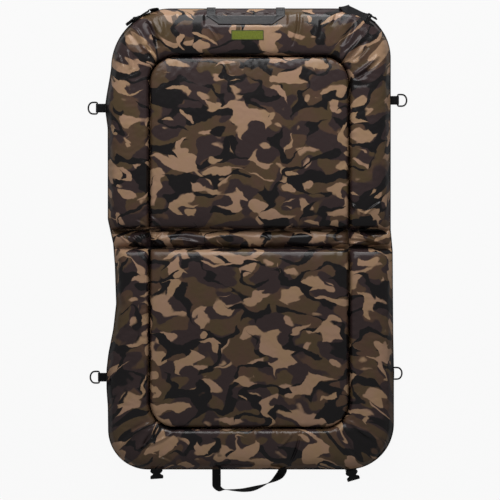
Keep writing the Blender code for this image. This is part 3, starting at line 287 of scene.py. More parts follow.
for row in (low_valley, high_valley):
    for start, stop in ((0, left_groove), (left_groove, right_groove), (right_groove, COLUMNS)):
        share = np.linspace(0, 1, stop - start + 1)[:, None]
        place[row, start:stop + 1] = (place[row, start] * (1 - share) + place[row, stop] * share)
    fixed[row] = True
outline = np.vstack([place[:, 0], place[-1, 1:], place[::-1, -1][1:], place[0, ::-1][1:-1]])
edge_run = np.roll(outline, -1, axis=0) - np.roll(outline, 1, axis=0)
edge_run /= np.linalg.norm(edge_run, axis=1)[:, None]
inward_at = np.column_stack((edge_run[:, 1], -edge_run[:, 0]))
drawn_in = outline + COVER_INSET * inward_at
place[:, 0] = drawn_in[:ROWS + 1]
place[-1, 1:] = drawn_in[ROWS + 1:ROWS + COLUMNS + 1]
place[:-1, -1] = drawn_in[ROWS + COLUMNS + 1:2 * ROWS + COLUMNS + 1][::-1]
place[0, 1:-1] = drawn_in[2 * ROWS + COLUMNS + 1:][::-1]
across = np.linspace(0, 1, COLUMNS + 1)[None, :, None]
even = place[:, :1] * (1 - across) + place[:, -1:] * across
place[~fixed] = even[~fixed]
for _ in range(EASING_ROUNDS):
    eased = place.copy()
    eased[1:-1, 1:-1] = 0.25 * (place[:-2, 1:-1] + place[2:, 1:-1] + place[1:-1, :-2] + place[1:-1, 2:])
    place[~fixed] = eased[~fixed]

# The stitching pulls the cloth down in a narrow line, so the grid is drawn close to the groove and
# to the two valleys.
columns_between_ends = place[low_end:high_end + 1].swapaxes(0, 1)
rows_between_sides = place[:, left_groove:right_groove + 1]
drawn = [(columns_between_ends, seam, way) for seam in (left_groove, right_groove) for way in (-1, 1)]
drawn += [(rows_between_sides, seam, way) for seam in (low_end, high_end) for way in (-1, 1)]
drawn += [(place, low_valley, -1), (place, high_valley, 1)]
for step, share in ((1, 0.22), (2, 0.60), (3, 0.86)):
    for lines, seam, way in drawn:
        beside = seam + way * step
        lines[beside] = lines[seam] + share * (lines[beside] - lines[seam])


def distance_to(line, points):
    """Shortest distance from each point to a line of points."""
    nearest = np.full(len(points), 1e9)
    for start, stop in zip(line[:-1], line[1:]):
        along = stop - start
        share = np.clip(((points - start) @ along) / max(along @ along, 1e-12), 0, 1)
        gap = np.linalg.norm(points - start - share[:, None] * along, axis=1)
        nearest = np.minimum(nearest, gap)
    return nearest


def filled(gap, reach):
    """How far the foam has filled the cloth out at a distance from its seam, from 0 to 1."""
    return 1 - np.exp(-gap / reach)


groove = np.vstack([place[low_end:high_end + 1, left_groove],
                    place[high_end, left_groove + 1:right_groove + 1],
                    place[low_end:high_end, right_groove][::-1],
                    place[low_end, left_groove:right_groove][::-1]])
flat_points = place.reshape(-1, 2)
from_edge = distance_to(outline[::2], flat_points)
from_groove = distance_to(groove, flat_points)
row_of, column_of = np.divmod(np.arange(len(flat_points)), COLUMNS + 1)
in_panel = ((row_of >= low_end) & (row_of <= high_end)
            & (column_of >= left_groove) & (column_of <= right_groove))
in_band = (row_of > low_valley) & (row_of < high_valley)
edge_lift = np.interp(from_edge, EDGE_PLACES, EDGE_LIFTS)
lowest = edge_lift + GROOVE_Z

# Heights: the rim swells from the seam and the groove, the panel from the groove, and both drop to
# the fold valleys. The slack band stands between the valleys, and is pinched at the groove.
seam_side = SEAM_Z + (RIM_HEIGHT - SEAM_Z) * filled(np.clip(from_edge - EDGE_PLACES[0], 0, 1), 0.0100)
shoulder = np.where(flat_points[:, 1] < GROOVE_DOWN, 0.006, 0.014)
groove_side = (GROOVE_Z + RIM_WALL * filled(from_groove, STITCH_REACH)
               + (RIM_HEIGHT - GROOVE_Z - RIM_WALL) * filled(from_groove, shoulder))
rim_z = 0.0005 + seam_side * groove_side / RIM_HEIGHT
panel_z = (GROOVE_Z + PANEL_WALL * filled(from_groove, STITCH_REACH)
           + PANEL_CROWN * filled(from_groove, 0.020))
height = np.where(in_panel, panel_z, rim_z)
to_side, to_end = np.abs(flat_points).T
from_valley = np.abs(to_end - VALLEY)
rise = 0.68 * filled(from_valley, 0.0022) + 0.32 * filled(from_valley, 0.024)
height = lowest + (np.maximum(height, lowest) - lowest) * rise
crown = np.clip(1 - (flat_points[:, 1] / VALLEY) ** 2, 0, 1) ** 0.6
pinch = 1 - 0.67 * np.exp(-(from_groove / 0.006) ** 2)
slack = BAND_HEIGHT * pinch * (1 - 0.35 * np.exp(-from_edge / 0.010))
height = np.where(in_band, lowest + (np.maximum(slack, lowest) - lowest) * crown, height)
height[from_edge < SEAM_FLAT] = SEAM_Z

# The cloth's own lengths, kept as a UV map in metres, so that the print and the weave lie in the
# cloth. They are measured before the cloth is let out.
grid = np.dstack((place, height.reshape(ROWS + 1, COLUMNS + 1)))
cloth_u = run_of_grid(grid, 1)
cloth_v = run_of_grid(grid, 0)
cloth_u -= cloth_u[:, COLUMNS // 2:COLUMNS // 2 + 1]
cloth_v -= cloth_v[(low_valley + high_valley) // 2]
for _ in range(60):
    cloth_u[1:-1] = 0.25 * (cloth_u[:-2] + cloth_u[2:]) + 0.5 * cloth_u[1:-1]
    cloth_v[:, 1:-1] = 0.25 * (cloth_v[:, :-2] + cloth_v[:, 2:]) + 0.5 * cloth_v[:, 1:-1]
cover_shape, spots = grid_sheet(grid, cloth_u, cloth_v)
sharp = cover_shape.edges.layers.float.new("crease_edge")
for edge in cover_shape.edges:
    if all(fixed[spots[vert]] for vert in edge.verts):
        edge[sharp] = 1.0
number = np.array([row * (COLUMNS + 1) + column for row, column in spots.values()])
padded_cover = piece_of("padded_cover", cover_shape)
cover_mesh = padded_cover.data

# The cloth is cut a little larger than its foam. It is let out between the seams, held loosely by
# the foam below, and no point moves further than the cap.
sewn = (fixed.reshape(-1) | (from_edge < HELD_EDGE))[number]
sewn &= ~(in_band[number] & (from_groove[number] > 0.001) & (from_edge[number] > HELD_EDGE))
near_corner = np.clip((to_side / 0.25) ** 6 * (to_end / 0.44) ** 6, 0, 1)
near_fold = np.exp(-(from_valley / 0.03) ** 2)
loose = np.clip(0.10 + 0.9 * np.maximum(near_corner, np.where(in_band, 1, 0.7 * near_fold)), 0, 1)[number]
held = np.where(sewn, 1, np.where(in_band, 0.08, 0.30)[number])
for group_name, weights in (("sewn", held), ("loose", loose)):
    group = padded_cover.vertex_groups.new(name=group_name)
    for index, weight in enumerate(weights):
        group.add([index], float(weight), "REPLACE")
swell = padded_cover.modifiers.new("swell", "CLOTH")
with_settings(swell.settings, quality=6, mass=0.25, tension_stiffness=25, compression_stiffness=25,
              shear_stiffness=10, bending_stiffness=0.4, air_damping=2, vertex_group_mass="sewn",
              pin_stiffness=1.0, shrink_min=-0.012, shrink_max=-0.045, vertex_group_shrink="loose",
              use_pressure=True, uniform_pressure_force=1.0)
swell.settings.effector_weights.gravity = 0
swell.collision_settings.use_collision = False
for step in range(1, CLOTH_FRAMES + 1):
    scene.frame_set(step)
settled = padded_cover.evaluated_get(bpy.context.evaluated_depsgraph_get())
moved = np.array([vert.co for vert in settled.data.vertices])
padded_cover.modifiers.remove(swell)
scene.frame_set(1)
start = np.array([vert.co for vert in cover_mesh.vertices])
shift = moved - start
cap = np.where(in_band, 0.008, 0.005 * np.clip(np.minimum(from_groove, from_valley) / 0.009, 0.12, 1))
cap = cap[number][:, None]
size = np.maximum(np.linalg.norm(shift, axis=1)[:, None], 1e-9)
shift *= np.tanh(size / cap) * cap / size
shift[sewn] = 0
cover_mesh.vertices.foreach_set("co", (start + shift).ravel())
padded_cover.vertex_groups.clear()
finer = with_settings(padded_cover.modifiers.new("finer", "SUBSURF"), levels=1, render_levels=1)
finer_cover = padded_cover.evaluated_get(bpy.context.evaluated_depsgraph_get())
smooth_mesh = bpy.data.meshes.new_from_object(finer_cover)
padded_cover.modifiers.remove(finer)
padded_cover.data = smooth_mesh
bpy.data.meshes.remove(cover_mesh)
smooth_mesh.name = "padded_cover"

# Sharp creases where the cloth is drawn in: at the corners, from the ends of the groove and at the
# fold. Each runs from one point to another, with its width and its height, in millimetres.
CREASES = np.array((
    (-238.3, 510.4, -214.6, 455.9, 2.6, 4), (-234.6, 495.4, -207, 435.6, 6, -8.5),
    (-311.9, 440.7, -289, 391.6, 2.4, 3), (-279.4, 430.6, -270.6, 385.6, 4, 3.6),
    (-247, 438, -224, 420, 2.6, 3.4), (-229, 428, -209, 403, 2.6, 3.6), (-235, 442, -229, 412, 3, -3.2),
    (-292, 486, -244, 428, 6, -4), (-270, 490, -242, 450, 3.2, 3), (-205, 506, -199, 460, 5, 2.2),
    (-92, 480.4, -70, 440.6, 3, 2.8), (-63.7, 403, -47.5, 375.4, 2.6, 1.8),
    (258, 460.4, 206, 409, 5, 7.2), (295, 419, 230, 368, 4.6, 6.8), (240, 440, 214, 413, 3, 3.4),
    (272.5, 363, 229, 362, 5, 3), (193, 515, 180, 487, 3.6, 3.6), (112, 518, 97, 438, 3.6, -3.6),
    (236, 499, 208, 439, 6, -4.8), (270, 438, 233, 405, 3.4, -3.6), (156, 500, 150, 456, 4, 2),
    (-54.9, 523, -43.3, 505.9, 2.2, 3), (-15.7, 520, -2.5, 503.9, 2.4, 3), (10, 520, 2, 504.3, 2.2, 2.4),
    (35, 522, 47, 506, 2.4, 2.6), (-304.4, 14.1, -273.1, -18.6, 2.6, 4), (-270.6, 6, -249.7, -18.6, 3, 4),
    (-256, 16, -238, -6, 3, -4), (-217.7, -8, -198, 18, 2.6, 4.4), (-202, 14.1, -101.5, 11.9, 2.8, 2.6),
    (-183.5, -3, -101.5, -14.8, 3.4, 3.4), (-101.5, 0.5, 21.7, 2.7, 4.4, 2.4),
    (-223, 2, -205, -15, 2.8, 4), (60, 9.1, 218, 6.6, 2.6, 2.8), (226, 13, 314.5, -18.6, 3.4, 5),
    (185, -12, 264, -16, 3.6, 3.6), (230, -3, 290, -15, 3, -3.4), (234, 17, 262, 4, 2.8, 3.4),
    (25, 11, 56, -12, 3.2, 2.2), (259, 49, 304, 85, 2.6, 3.6), (226, 83.1, 250, 57.5, 3.2, 3.4),
    (-227, 52, -206, 30, 3.2, 2.8), (-260, 42, -235, 26, 3, 2.6), (-290, -470, -225, -420, 4, 4.2),
    (-250, -500, -215, -435, 4.6, -4.2), (295, -460, 230, -415, 4, 4.2),
    (250, -502, 212, -435, 4.6, -3.8), (-210, -417, -223, -456, 3, -4),
    (-169, -438, -255, -474.8, 2.8, 3.4), (-207.6, -498.8, -176, -512, 2.8, 2.6),
    (-145, -516, -135.7, -469, 2.6, -2.4), (115.7, -438, 87.3, -520, 3.2, -4.4),
    (98, -442, 60, -480, 3, 2.6)
)) / 1000
cover_shape = bmesh.new()
cover_shape.from_mesh(smooth_mesh)
middles = np.array([face.calc_center_median().xy for face in cover_shape.faces])
near_crease = np.zeros(len(middles), dtype=bool)
for x1, y1, x2, y2, width, lift in CREASES:
    near_crease |= distance_to(np.array(((x1, y1), (x2, y2))), middles) < 1.9 * width + 0.002
creased = [face for face, near in zip(cover_shape.faces, near_crease) if near]
creased_edges = list(dict.fromkeys(edge for face in creased for edge in face.edges if not edge.is_boundary))
bmesh.ops.subdivide_edges(cover_shape, edges=creased_edges, cuts=1, use_grid_fill=True)
cover_shape.to_mesh(smooth_mesh)
cover_shape.free()
surface = np.array([vert.co for vert in smooth_mesh.vertices])
edge_gap = distance_to(outline[::2], surface[:, :2])
groove_gap = distance_to(groove[::2], surface[:, :2])
freedom = np.clip((edge_gap - 0.004) / 0.012, 0, 1) * np.clip((groove_gap - 0.0005) / 0.006, 0, 1)
for x1, y1, x2, y2, width, lift in CREASES:
    run = np.array((x2 - x1, y2 - y1))
    length = np.linalg.norm(run)
    run /= length
    offset = surface[:, :2] - (x1, y1)
    share = np.clip((offset @ run) / length, 0, 1)
    aside = offset @ np.array((-run[1], run[0])) - 0.06 * length * np.sin(pi * share)
    envelope = np.clip(np.sin(pi * share), 0, 1) ** 0.6 * freedom
    ridge = np.exp(-(aside / width) ** 2) - 0.55 * np.exp(-((aside - 1.8 * width) / width) ** 2)
    surface[:, 2] += lift * envelope * ridge

# Small puckers beside every line of stitching, from waves of several lengths
side_share = np.clip((np.abs(surface[:, 0]) - 0.195) / 0.03, 0, 1)
turns_along = 2 * pi * (side_share * surface[:, 1] + (1 - side_share) * surface[:, 0])
ripple = (np.sin(turns_along / 0.0170) + 0.8 * np.sin(turns_along / 0.0243 + 1.3)
          + 0.6 * np.sin(turns_along / 0.0411 + 2.1))
ripple *= 0.6 + 0.6 * np.sin(turns_along / 0.131 + 0.8) * np.sin(turns_along / 0.079)
beside_groove = np.exp(-((groove_gap - 0.008) / 0.007) ** 2)
beside_edge = np.exp(-((edge_gap - 0.012) / 0.008) ** 2)
surface[:, 2] += PUCKER_HEIGHT * ripple * (beside_groove + 1.2 * beside_edge) * freedom

# The upper handle is folded back on the rim and presses it down, under its band and its two legs.
HANDLE_OVER = ((-0.101, 0.085, 0.4875, 0.5120), (-0.0985, -0.0767, 0.5080, 0.5262),
               (0.0605, 0.0823, 0.5080, 0.5262))
pressed_z = np.interp(surface[:, 1], (0.4884, 0.5094, 0.5196, 0.5256), (0.0447, 0.0381, 0.0296, 0.0202))
for west, east, south, north in HANDLE_OVER:
    aside = np.maximum(np.maximum(west - surface[:, 0], surface[:, 0] - east), 0)
    beyond = np.maximum(np.maximum(south - surface[:, 1], surface[:, 1] - north), 0)
    over_tape = pressed_z + 1.1 * np.hypot(aside, beyond)
    surface[:, 2] = np.where(edge_gap > 0.0035, np.minimum(surface[:, 2], over_tape), surface[:, 2])
smooth_mesh.vertices.foreach_set("co", surface.ravel())

# The cover is closed underneath by the foam's flat foot, just above the base sheet. It is cut
# across at the fold.
UNDER_RINGS = ((0.0, 0.0123), (0.0027, 0.0123), (0.00886, 0.00831), (0.01775, 0.00464), (0.0369, 0.0018))
cover_shape = bmesh.new()
cover_shape.from_mesh(smooth_mesh)
rim_edges = [edge for edge in cover_shape.edges if edge.is_boundary]
home = {}
for vert in {vert for edge in rim_edges for vert in edge.verts}:
    nearest = int(np.argmin(np.linalg.norm(outline - np.array(vert.co.xy), axis=1)))
    home[vert] = (np.array(vert.co.xy), inward_at[nearest])
for inset, z in UNDER_RINGS:
    grown = bmesh.ops.extrude_edge_only(cover_shape, edges=rim_edges)["geom"]
    for vert in [item for item in grown if isinstance(item, bmesh.types.BMVert)]:
        below = min((edge.other_vert(vert) for edge in vert.link_edges if edge.other_vert(vert) in home),
                    key=lambda other: (other.co.xy - vert.co.xy).length)
        home[vert] = home[below]
        vert.co = (*(home[vert][0] + home[vert][1] * inset), z)
    rim_edges = [item for item in grown if isinstance(item, bmesh.types.BMEdge)
                 and all(vert in home for vert in item.verts) and item.is_boundary]
bmesh.ops.holes_fill(cover_shape, edges=rim_edges, sides=0)
for cut in (VALLEY, 0.5 * VALLEY, 0.0, -0.5 * VALLEY, -VALLEY):
    whole = [face for face in cover_shape.faces if len(face.verts) > 8]
    around = list(dict.fromkeys(edge for face in whole for edge in face.edges))
    bmesh.ops.bisect_plane(cover_shape, geom=whole + around, plane_co=(0, cut, 0), plane_no=(0, 1, 0),
                           dist=1e-6)
bmesh.ops.recalc_face_normals(cover_shape, faces=cover_shape.faces)
for face in cover_shape.faces:
    face.smooth = len(face.verts) < 9
cover_shape.to_mesh(smooth_mesh)
cover_shape.free()


def start_material(name, roughness=0.5, gleam=0.5):
    """A new material, with its node tree and its shader."""
    material = bpy.data.materials.new(name)
    material.use_nodes = True
    shader = material.node_tree.nodes["Principled BSDF"]
    shader.inputs["Roughness"].default_value = roughness
    shader.inputs["Specular IOR Level"].default_value = gleam
    return material, material.node_tree, shader


def place_in_cloth(tree):
    """The place along the cloth's own threads, in metres."""
    return add_node(tree, "UVMap", uv_map="cloth").outputs[0]


def noise(tree, place, scale, detail=2, **values):
    """A noise texture laid out in one set of coordinates."""
    values = {"Vector": place, "Scale": scale, "Detail": detail, **values}
    return add_node(tree, "TexNoise", values)


def laid_out(tree, place, scale, shift=(0, 0, 0), turn=0):
    """Coordinates that are scaled, shifted and turned."""
    values = {"Vector": place, "Location": shift, "Rotation": (0, 0, radians(turn)), "Scale": scale}
    return add_node(tree, "Mapping", values).outputs[0]


def threshold(tree, value, edge, softness=0.012):
    """A crisp-edged mask of the places where a value lies above an edge."""
    values = {"Value": value, "From Min": edge - softness, "From Max": edge + softness}
    return add_node(tree, "MapRange", values, interpolation_type="SMOOTHSTEP").outputs["Result"]


def mix_colours(tree, mask, low, high):
    """Two colours, or a colour and what lies under it, mixed by a mask."""
    low, high = [(*colour, 1) if isinstance(colour, tuple) else colour for colour in (low, high)]
    return add_node(tree, "Mix", {0: mask, 6: low, 7: high}, data_type="RGBA").outputs[2]


def mottle(tree, shader, place, scale, detail, low, high):
    """A base colour that wanders between two colours, and the field that it follows."""
    field = noise(tree, place, scale, detail).outputs["Fac"]
    tree.links.new(mix_colours(tree, field, low, high), shader.inputs["Base Color"])
    return field


def relief(tree, height, strength, distance, above):
    """Fine relief for a shader, or for another relief above it."""
    bump = add_node(tree, "Bump", {"Height": height, "Strength": strength, "Distance": distance})
    tree.links.new(bump.outputs[0], above.inputs["Normal"])
    return bump


# Printed coated cloth: generic woodland shapes. On purple brown lie olive and tan patches, then
# black branches and a few tan ones. Two warps pull every screen about, so the shapes grow fingers.
TAN = (0.300, 0.183, 0.121)
FADED_TAN = (0.287, 0.180, 0.102)
OLIVE = (0.068, 0.044, 0.021)
FADED_OLIVE = (0.074, 0.040, 0.026)
PURPLE_BROWN = (0.031, 0.019, 0.019)
NEAR_BLACK = (0.0066, 0.0054, 0.0058)
WARPS = ((13.5, 0.045, 1), (50, 0.018, 2))
print_cloth, tree, shader = start_material("camouflage_cloth", gleam=0.25)
cloth_place = place_in_cloth(tree)
print_place = cloth_place
for warp_size, warp_reach, warp_detail in WARPS:
    warp = noise(tree, cloth_place, warp_size, warp_detail)
    centred = add_node(tree, "VectorMath", {0: warp.outputs["Color"], 1: (0.5, 0.5, 0.5)},
                       operation="SUBTRACT")
    reach = (warp_reach, 0.7 * warp_reach, 0)
    print_place = add_node(tree, "VectorMath", {0: centred.outputs[0], 1: reach, 2: print_place},
                           operation="MULTIPLY_ADD").outputs[0]


def screen(shift, turn, stretch, size):
    """The soft field that one screen of the print is cut from."""
    place = laid_out(tree, print_place, (size, size * stretch, size), shift, turn)
    return noise(tree, place, 1, 1, Roughness=0.45).outputs["Fac"]


def branches(course, body, width, swell):
    """Branching strokes along the middle of one field, fat or thin as a second field says."""
    aside = calculate(tree, "ABSOLUTE", calculate(tree, "SUBTRACT", course, 0.5))
    fat = calculate(tree, "MULTIPLY_ADD", calculate(tree, "SUBTRACT", body, 0.5), swell, width)
    return threshold(tree, calculate(tree, "SUBTRACT", fat, aside), 0.0, 0.006)


olive_mask = threshold(tree, screen((3.1, 7.7, 0), -18, 1.3, 12.5), 0.505)
tan_mask = threshold(tree, screen((9.7, 3.3, 0), 24, 1.5, 14.0), 0.60)
black_mask = branches(screen((5.7, 17.3, 0), -24, 1.6, 10.5), screen((1.7, 4.3, 0), 8, 1.3, 12.5),
                      0.033, 0.30)
last_tan_mask = branches(screen((29.7, 3.3, 0), 24, 1.5, 10.5), screen((21.7, 34.3, 0), -12, 1.3, 13.5),
                         -0.004, 0.40)
uneven = threshold(tree, noise(tree, cloth_place, 17, 4).outputs["Fac"], 0.5, 0.16)
tan_dye = mix_colours(tree, uneven, TAN, FADED_TAN)
olive_dye = mix_colours(tree, uneven, OLIVE, FADED_OLIVE)
dye = PURPLE_BROWN
for mask, ink in ((olive_mask, olive_dye), (tan_mask, tan_dye), (black_mask, NEAR_BLACK),
                  (last_tan_mask, tan_dye)):
    dye = mix_colours(tree, mask, dye, ink)
tree.links.new(dye, shader.inputs["Base Color"])
tree.links.new(calculate(tree, "MULTIPLY_ADD", uneven, 0.09, 0.175), shader.inputs["Roughness"])

# Fine plain weave under the coating, and the shallow waves of stiff cloth
weave_place = laid_out(tree, cloth_place, (1400, 1400, 1400))
weave = add_node(tree, "TexVoronoi", {"Vector": weave_place, "Scale": 1, "Randomness": 0.15},
                 feature="F1", distance="CHEBYCHEV")
waves = noise(tree, laid_out(tree, cloth_place, (11, 16, 12)), 1, 4, Distortion=0.6)
wave_relief = relief(tree, waves.outputs["Fac"], 0.8, 0.0016, shader)
relief(tree, weave.outputs["Distance"], 0.25, 0.0001, wave_relief)
smooth_mesh.materials.clear()
smooth_mesh.materials.append(print_cloth)
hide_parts("cover_upper", "cover_lower", "fold_band", "foam_centre_upper",
            "foam_centre_lower", "foam_rim_upper", "foam_rim_lower")
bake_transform(padded_cover)


# Base: black coated sheet, flat on the ground under the foam and turned up to the seam round its
# edge. It is sewn to the cover along the edge, the groove and the fold.
BASE_THICKNESS = 0.0015
base_points = np.dstack((place, edge_lift.reshape(ROWS + 1, COLUMNS + 1)))[::2, ::2]
mat_base = piece_of("mat_base", grid_sheet(base_points, base_points[..., 0], base_points[..., 1])[0])
with_settings(mat_base.modifiers.new("wall", "SOLIDIFY"), thickness=BASE_THICKNESS, offset=1)
base_cloth, tree, shader = start_material("black_base_cloth", 0.55)
cloth_place = place_in_cloth(tree)
mottle(tree, shader, cloth_place, 14, 6, (0.0115, 0.0115, 0.012), (0.021, 0.020, 0.020))
rib = add_node(tree, "TexChecker", {"Vector": cloth_place, "Scale": 1100})
relief(tree, rib.outputs["Fac"], 0.3, 0.0002, shader)
mat_base.data.materials.append(base_cloth)
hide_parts("base_upper", "base_lower", "fold_base")
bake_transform(mat_base)


# Edge binding: one black woven tape folded over the seam all the way round, sewn through near its
# inner edge. Half of its section is given, as insets from the seam and as heights from the tape's
# outer face.
TAPE_TOP = 0.0149
TAPE_UNDER = 0.0094
TAPE_LAP = 0.0030
HALF_SECTION = ((0.0009, 0.0012), (0.0011, 0.0009), (TAPE_LAP, 0.0008), (TAPE_LAP + 0.0003, 0.0004),
                (TAPE_LAP, 0), (0.0012, 0), (0.0003, 0.0005), (0, 0.0016))
BAND_AT_SCALE_ONE = 0.314


def moved_grid(name, points, closed=False):
    """A piece made of rows and columns of points, mapped by the mean lengths over and down it."""
    points = np.asarray(points, dtype=float)
    over = np.broadcast_to(run_of_grid(points, 1).mean(axis=0), points.shape[:2])
    down = np.broadcast_to(run_of_grid(points, 0).mean(axis=1)[:, None], points.shape[:2])
    sheet = grid_sheet(points, over, down)[0]
    if closed:
        bmesh.ops.remove_doubles(sheet, verts=sheet.verts, dist=1e-6)
        bmesh.ops.recalc_face_normals(sheet, faces=sheet.faces)
    return piece_of(name, sheet)


def bands(tree, place, direction, pitch, **values):
    """Bands across one direction of the cloth, at one pitch."""
    values = {"Vector": place, "Scale": BAND_AT_SCALE_ONE / pitch, **values}
    return add_node(tree, "TexWave", values, wave_type="BANDS",
                    bands_direction=direction).outputs["Fac"]


def woven_tape(name, colour, lit, rib_pitch, roughness, depth, gleam=0.22):
    """Ribbed narrow weave: yarns across the tape and along it, with a little fuzz."""
    cloth, tree, shader = start_material(name, roughness, gleam)
    shader.inputs["Sheen Weight"].default_value = 0.04
    shader.inputs["Sheen Roughness"].default_value = 0.5
    place = place_in_cloth(tree)
    ribs = bands(tree, place, "Y", rib_pitch, Distortion=0.4, Detail=1)
    yarns = bands(tree, place, "X", 1.6 * rib_pitch)
    mottle(tree, shader, place, 260, 3, colour, lit)
    relief(tree, calculate(tree, "MULTIPLY_ADD", yarns, 0.5, ribs), 0.6, depth, shader)
    return cloth


seam_line = np.vstack((outline, outline[:1]))
seam_inward = np.vstack((inward_at, inward_at[:1]))
lower_ply = [(inset, TAPE_UNDER + rise) for inset, rise in HALF_SECTION]
upper_ply = [(inset, TAPE_TOP - rise) for inset, rise in HALF_SECTION[::-1]]
tape_section = lower_ply[2:] + upper_ply + lower_ply[:3]
tape_rows = [[(*(point + inward * inset), z) for inset, z in tape_section]
             for point, inward in zip(seam_line, seam_inward)]
edge_tape = moved_grid("edge_tape", tape_rows, closed=True)
edge_tape.data.materials.append(woven_tape("binding_weave", (0.0035, 0.0035, 0.0038), (0.008, 0.008, 0.0085),
                                           0.0011, 0.6, 0.0002))
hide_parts("edge_binding_upper", "edge_binding_lower")
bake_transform(edge_tape)


# Lockstitching: black thread in short stitches, along the tape and down in the groove. Each stitch
# dips at both ends, where the thread goes through the cloth.
THREAD = 0.00028
STITCH_LENGTH = 0.0022
STITCH_PITCH = 0.0036
stitch_shape = bmesh.new()
bmesh.ops.create_cone(stitch_shape, cap_ends=True, segments=5, radius1=THREAD, radius2=THREAD,
                      depth=STITCH_LENGTH)
long_edges = [edge for edge in stitch_shape.edges if abs(edge.verts[0].co.z - edge.verts[1].co.z) > 0.001]
bmesh.ops.subdivide_edges(stitch_shape, edges=long_edges, cuts=1)
for vert in stitch_shape.verts:
    if abs(vert.co.z) > 0.001:
        vert.co = (0.45 * vert.co.x, 0.45 * vert.co.y - 0.00035, vert.co.z)
stitch_mesh = bpy.data.meshes.new("one_stitch")
stitch_shape.to_mesh(stitch_mesh)
stitch_shape.free()

thread_black, tree, shader = start_material("thread_black")
ply_place = add_node(tree, "TexCoord").outputs["Object"]
mottle(tree, shader, ply_place, 900, 2, (0.012, 0.012, 0.012), (0.030, 0.030, 0.030))


def stitched(name, line, pitch):
    """A piece of stitching: stitches laid end to end along a line of points."""
    places = np.arange(0.5 * pitch, run_along(line)[-1], pitch)
    shape = bmesh.new()
    for middle, front in zip(points_at(line, places), points_at(line, places + 0.001)):
        first = len(shape.verts)
        shape.from_mesh(stitch_mesh)
        shape.verts.ensure_lookup_table()
        turn = Vector(front - middle).to_track_quat("Z", "Y").to_matrix().to_4x4()
        bmesh.ops.transform(shape, matrix=Matrix.Translation(middle) @ turn, verts=shape.verts[first:])
    made = piece_of(name, shape)
    made.data.materials.append(thread_black)
    return made


tape_line = np.column_stack((seam_line + 0.0020 * seam_inward, np.full(len(seam_line), TAPE_TOP + 0.0001)))
groove_line = np.vstack((groove, groove[:1]))
groove_line = np.column_stack((groove_line, np.full(len(groove_line), GROOVE_Z + 0.0004)))
for line_name, stitch_line in (("tape_stitching", tape_line), ("groove_stitching", groove_line)):
    line_of_stitches = stitched(line_name, stitch_line, STITCH_PITCH)
    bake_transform(line_of_stitches)


# Label: a plain woven yellow-green patch on the upper rim, turned under at its edges and stitched
# down round its border.
LABEL_WIDTH = 0.0736
LABEL_HEIGHT = 0.0224
LABEL_MIDDLE = (-0.0041, 0.4638)
LABEL_BORDER = 0.0016
pad_tree = BVHTree.FromPolygons([vert.co for vert in smooth_mesh.vertices],
                                [tuple(face.vertices) for face in smooth_mesh.polygons])


def top_of_pad(x, y):
    """Height of the padded cover over a point."""
    return pad_tree.ray_cast(Vector((x, y, 0.2)), Vector((0, 0, -1)))[0].z


label_rows = []
for y in np.linspace(-0.5, 0.5, 15) * LABEL_HEIGHT + LABEL_MIDDLE[1]:
    row = []
    for x in np.linspace(-0.5, 0.5, 41) * LABEL_WIDTH + LABEL_MIDDLE[0]:
        around = [top_of_pad(x + dx, y + dy) for dx in (-0.006, 0, 0.006) for dy in (-0.004, 0, 0.004)]
        row.append((x, y, max(np.mean(around), top_of_pad(x, y)) + 0.0006))
    label_rows.append(row)
label_rows = np.array(label_rows)
woven_label = moved_grid("woven_label", label_rows)
with_settings(woven_label.modifiers.new("wall", "SOLIDIFY"), thickness=0.0008, offset=0)
with_settings(woven_label.modifiers.new("turned_edge", "BEVEL"), width=0.0003, segments=2,
              limit_method="ANGLE")
label_cloth, tree, shader = start_material("label_cloth", 0.6, 0.2)
label_place = place_in_cloth(tree)
fleck = noise(tree, label_place, 320, 3)
label_dye = mix_colours(tree, fleck.outputs["Fac"], (0.070, 0.092, 0.007), (0.160, 0.184, 0.016))
# A darker woven border, read from how near the point is to the patch's edges
sides = add_node(tree, "SeparateXYZ", {0: label_place})
borders = []
for axis, size in ((0, LABEL_WIDTH), (1, LABEL_HEIGHT)):
    from_middle = calculate(tree, "ABSOLUTE", calculate(tree, "SUBTRACT", sides.outputs[axis], 0.5 * size))
    borders.append(threshold(tree, from_middle, 0.5 * size - LABEL_BORDER, 0.0002))
tree.links.new(mix_colours(tree, calculate(tree, "MAXIMUM", *borders), label_dye, (0.042, 0.055, 0.014)),
               shader.inputs["Base Color"])
relief(tree, bands(tree, label_place, "Y", 0.0006, Distortion=0.6), 0.6, 0.0002, shader)
woven_label.data.materials.append(label_cloth)
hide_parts("label")
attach(woven_label, "upper_half")
label_inner = label_rows[1:-1, 1:-1] + (0, 0, 0.0005)
label_line = np.vstack((label_inner[0], label_inner[1:, -1], label_inner[-1, ::-1][1:],
                        label_inner[::-1, 0][1:]))
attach(stitched("label_stitching", label_line, 0.0028), "upper_half")


# Black polypropylene webbing: the two handles, the straps over the upper corners and the folded
# tabs. Each is one length of tape, heat cut and sewn into the edge seam. A row gives one point on
# each edge of the tape, in millimetres from its seam, or for the strap's root from the origin.
WEBBING = 0.0010
HANDLE_WEBBING = 0.0015
webbing_weave = woven_tape("webbing_weave", (0.003, 0.003, 0.0035), (0.007, 0.007, 0.008), 0.0013, 0.45,
                           0.0003, gleam=0.10)
# The upper handle is the same black webbing, coloured lighter as a lit copy of it: painted light where the
# lamps beyond the upper end catch it.
painted_lit_handle_weave = woven_tape("painted_lit_handle_weave", (0.007, 0.007, 0.008), (0.015, 0.015, 0.017), 0.0013, 0.32,
                          0.0003, gleam=0.32)
HANDLE_LEG = [(-89.5, y, z, -69.5, y, z) for y, z in (
    (0, 0), (4, 0), (4, 6.6), (1.3, 8.7), (-2.3, 13.3), (-8.3, 22.7), (-18.5, 31.2)
)]
HALF_HANDLE = np.array((
    *HANDLE_LEG,
    (-74.8, -29, 34.5, -68.5, -18.5, 31.2), (-60.1, -39.5, 37.8, -66.5, -18.5, 31.2)
))
